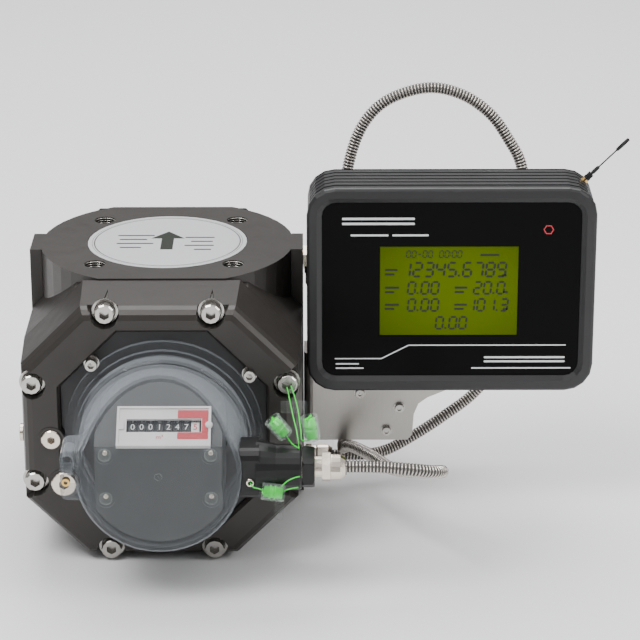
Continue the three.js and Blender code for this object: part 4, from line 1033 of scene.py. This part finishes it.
class MakeDisplay(Maker):
    """Numbers on the display and the plain print on the window."""
    bl_idname = "meter.display"
    bl_label = "Display"

    def make(self, sizes, tint):
        lo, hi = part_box("lcd_module")
        left, top = lo.x / MM + 5, hi.z / MM - 5
        face = upright(lo.y - 0.06 * MM)
        ink = Shape()
        for text, dx, dz, height in (
            ("00-00 00:00", 17, 7.6, 4.4), ("12345.6789", 14, 20.4, 9.2), ("0.00", 18, 32.2, 8.0),
            ("20.0", 60, 32.2, 8.0), ("0.00", 18, 43.8, 8.0), ("101.3", 56, 43.8, 8.0),
            ("0.00", 36, 56.0, 8.0),
        ):
            seven_segment(ink, text, left + dx, top - dz, height, face)
        for dx, dz, width in (
            (3.5, 16, 8), (3.5, 19, 6), (3.5, 28, 9), (3.5, 31, 6), (3.5, 39.6, 9), (3.5, 42.4, 6),
            (48, 28, 8), (48, 31, 6), (48, 39.6, 8), (48, 42.4, 6), (78, 19.8, 3), (79, 31, 3),
            (79, 42.6, 3), (64, 6, 12),
        ):
            ink.slab(rounded(width, 1.3, 0.3, left + dx + width / 2, top - dz, 1), -INK, INK, face)
        ink.piece("display_segments", "lcd", "ink")

        y = WINDOW_LO.y - INK * MM
        face = upright(y)
        x0, z1 = WINDOW_LO.x / MM, WINDOW_HI.z / MM
        white = Shape()
        for dx, dz, width, height in (
            (12.6, 10.6, 46, 1.5), (12.6, 13.9, 46, 1.5), (18, 21.6, 24, 1.2), (44.5, 21.6, 23, 1.2),
            (8.6, 109, 15, 0.9), (8.6, 112, 18, 0.9), (104, 104.6, 52, 1.3), (104, 107.4, 52, 1.3),
            (96, 112, 64, 0.9),
        ):
            white.slab(rounded(width, height, 0.3 * height, x0 + dx + width / 2, z1 - dz, 2), -INK, INK, face)
        path = [Vector((x0 + dx, z1 - dz))
                for dx, dz in ((8, 105.4), (38, 105.4), (55.4, 96.2), (156.5, 96.2))]
        for a, b in zip(path, path[1:]):
            side = (b - a).normalized().orthogonal() * 0.35
            white.slab([a + side, b + side, b - side, a - side], -INK, INK, face)
        white.piece("window_print", "white_plastic", "print")
        red = Shape().ring([(2.6, -INK), (3.4, -INK), (3.4, INK), (2.6, INK)],
                           turn_to(FRONT, ((x0 + 143.5) * MM, y, (z1 - 18) * MM)), 6, smooth=False)
        red.piece("window_mark", "white_plastic", "red")


class MakeLabel(Maker):
    """Flow arrow and plain bars on the inlet label."""
    bl_idname = "meter.label"
    bl_label = "Label"

    def make(self, sizes, tint):
        flat = Matrix.Translation((0, 0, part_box("inlet_label")[1].z + INK * MM))
        thick = 2 * INK
        arrow = [(-16, -4), (6, -4), (6, -11), (20, 0), (6, 11), (6, 4), (-16, 4)]
        ink = Shape().slab(arrow, 0, thick, flat @ Matrix.Rotation(math.pi / 2, 4, "Z"))
        for k, width in enumerate((24, 18, 24, 14)):
            ink.slab(rounded(width, 1.8, 0.5, -27 + width / 4, 12 - 8 * k, 2), 0, thick, flat)
            ink.slab(rounded(width * 0.8, 1.8, 0.5, 27 - width / 4, 8 - 8 * k, 2), 0, thick, flat)
        ink.piece("label_print", "label_foil", "ink")


# ------------------------------------------------------------------ stage
class MakeStage(Maker):
    """Pale floor and soft studio light."""
    bl_idname = "meter.stage"
    bl_label = "Stage"

    def make(self, sizes, tint):
        lo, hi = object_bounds()
        floor = Shape().add([(-6, -3, 0), (6, -3, 0), (6, 8, 0), (-6, 8, 0)], [(0, 1, 2, 3)],
                            Matrix.Translation((0, 0, lo.z - 0.05 * MM)), smooth=False).mesh("floor")
        obj = bpy.data.objects.new("floor", floor)
        bpy.context.scene.collection.objects.link(obj)
        f = Finish("pale_floor")
        tone = f.mix(f.noise(0.4, 1), (0.86, 0.86, 0.86), (0.88, 0.88, 0.88))
        floor.materials.append(f.set(Base_Color=tone, Roughness=0.6))
        obj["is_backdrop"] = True
        sky = Finish("studio", "worlds", "Background")
        height = sky.node("ShaderNodeSeparateXYZ", {}, sky.node("ShaderNodeTexCoord", {}, output="Generated"),
                          output="Z")
        ramp = sky.node("ShaderNodeValToRGB", {"stops": [
            (0.0, (0.1, 0.1, 0.1)), (0.25, (0.16, 0.16, 0.16)), (0.5, (0.5, 0.5, 0.5)),
            (0.85, (1.25, 1.25, 1.27))]}, height)
        bpy.context.scene.world = sky.set(Color=ramp, Strength=1.0)
        aim = (lo + hi) / 2
        for name, place, size, power in (
            ("key", (-0.7, -0.9, 1.9), 0.9, 34), ("fill", (1.5, -0.7, 1.2), 0.8, 12),
            ("top", (0.1, 0.9, 1.8), 1.6, 34),
        ):
            light = bpy.data.lights.new(name, "AREA")
            light.shape, light.size, light.energy = "SQUARE", size, power
            lamp = bpy.data.objects.new(name, light)
            lamp.matrix_world = turn_to(Vector(place) - aim, place)
            bpy.context.scene.collection.objects.link(lamp)


STEPS = (MakeFinishes, MakeCamera, MakeConduits, MakeFasteners, MakeGaskets, MakeIndex, MakeSeals,
         MakeDisplay, MakeLabel, MakeStage)


class MeterPanel(bpy.types.Panel):
    """Sizes, colours and makers of the gas meter."""
    bl_idname = "VIEW3D_PT_gas_meter"
    bl_label = "Gas meter"
    bl_space_type = "VIEW_3D"
    bl_region_type = "UI"
    bl_category = "Gas meter"

    def draw(self, context):
        for group in (context.scene.meter_sizes, context.scene.meter_colours):
            for key in group.bl_rna.properties.keys():
                if key not in {"rna_type", "name"}:
                    self.layout.prop(group, key)
        for step in STEPS:
            self.layout.operator(step.bl_idname)


def register():
    for cls in (MeterColours, MeterSizes, *STEPS, MeterPanel):
        bpy.utils.register_class(cls)
    bpy.types.Scene.meter_colours = bpy.props.PointerProperty(type=MeterColours)
    bpy.types.Scene.meter_sizes = bpy.props.PointerProperty(type=MeterSizes)


def unregister():
    del bpy.types.Scene.meter_sizes
    del bpy.types.Scene.meter_colours
    for cls in (MeterPanel, *reversed(STEPS), MeterSizes, MeterColours):
        bpy.utils.unregister_class(cls)


def main():
    register()
    for step in STEPS:
        group, name = step.bl_idname.split(".")
        getattr(getattr(bpy.ops, group), name)()


if __name__ == "__main__":
    main()
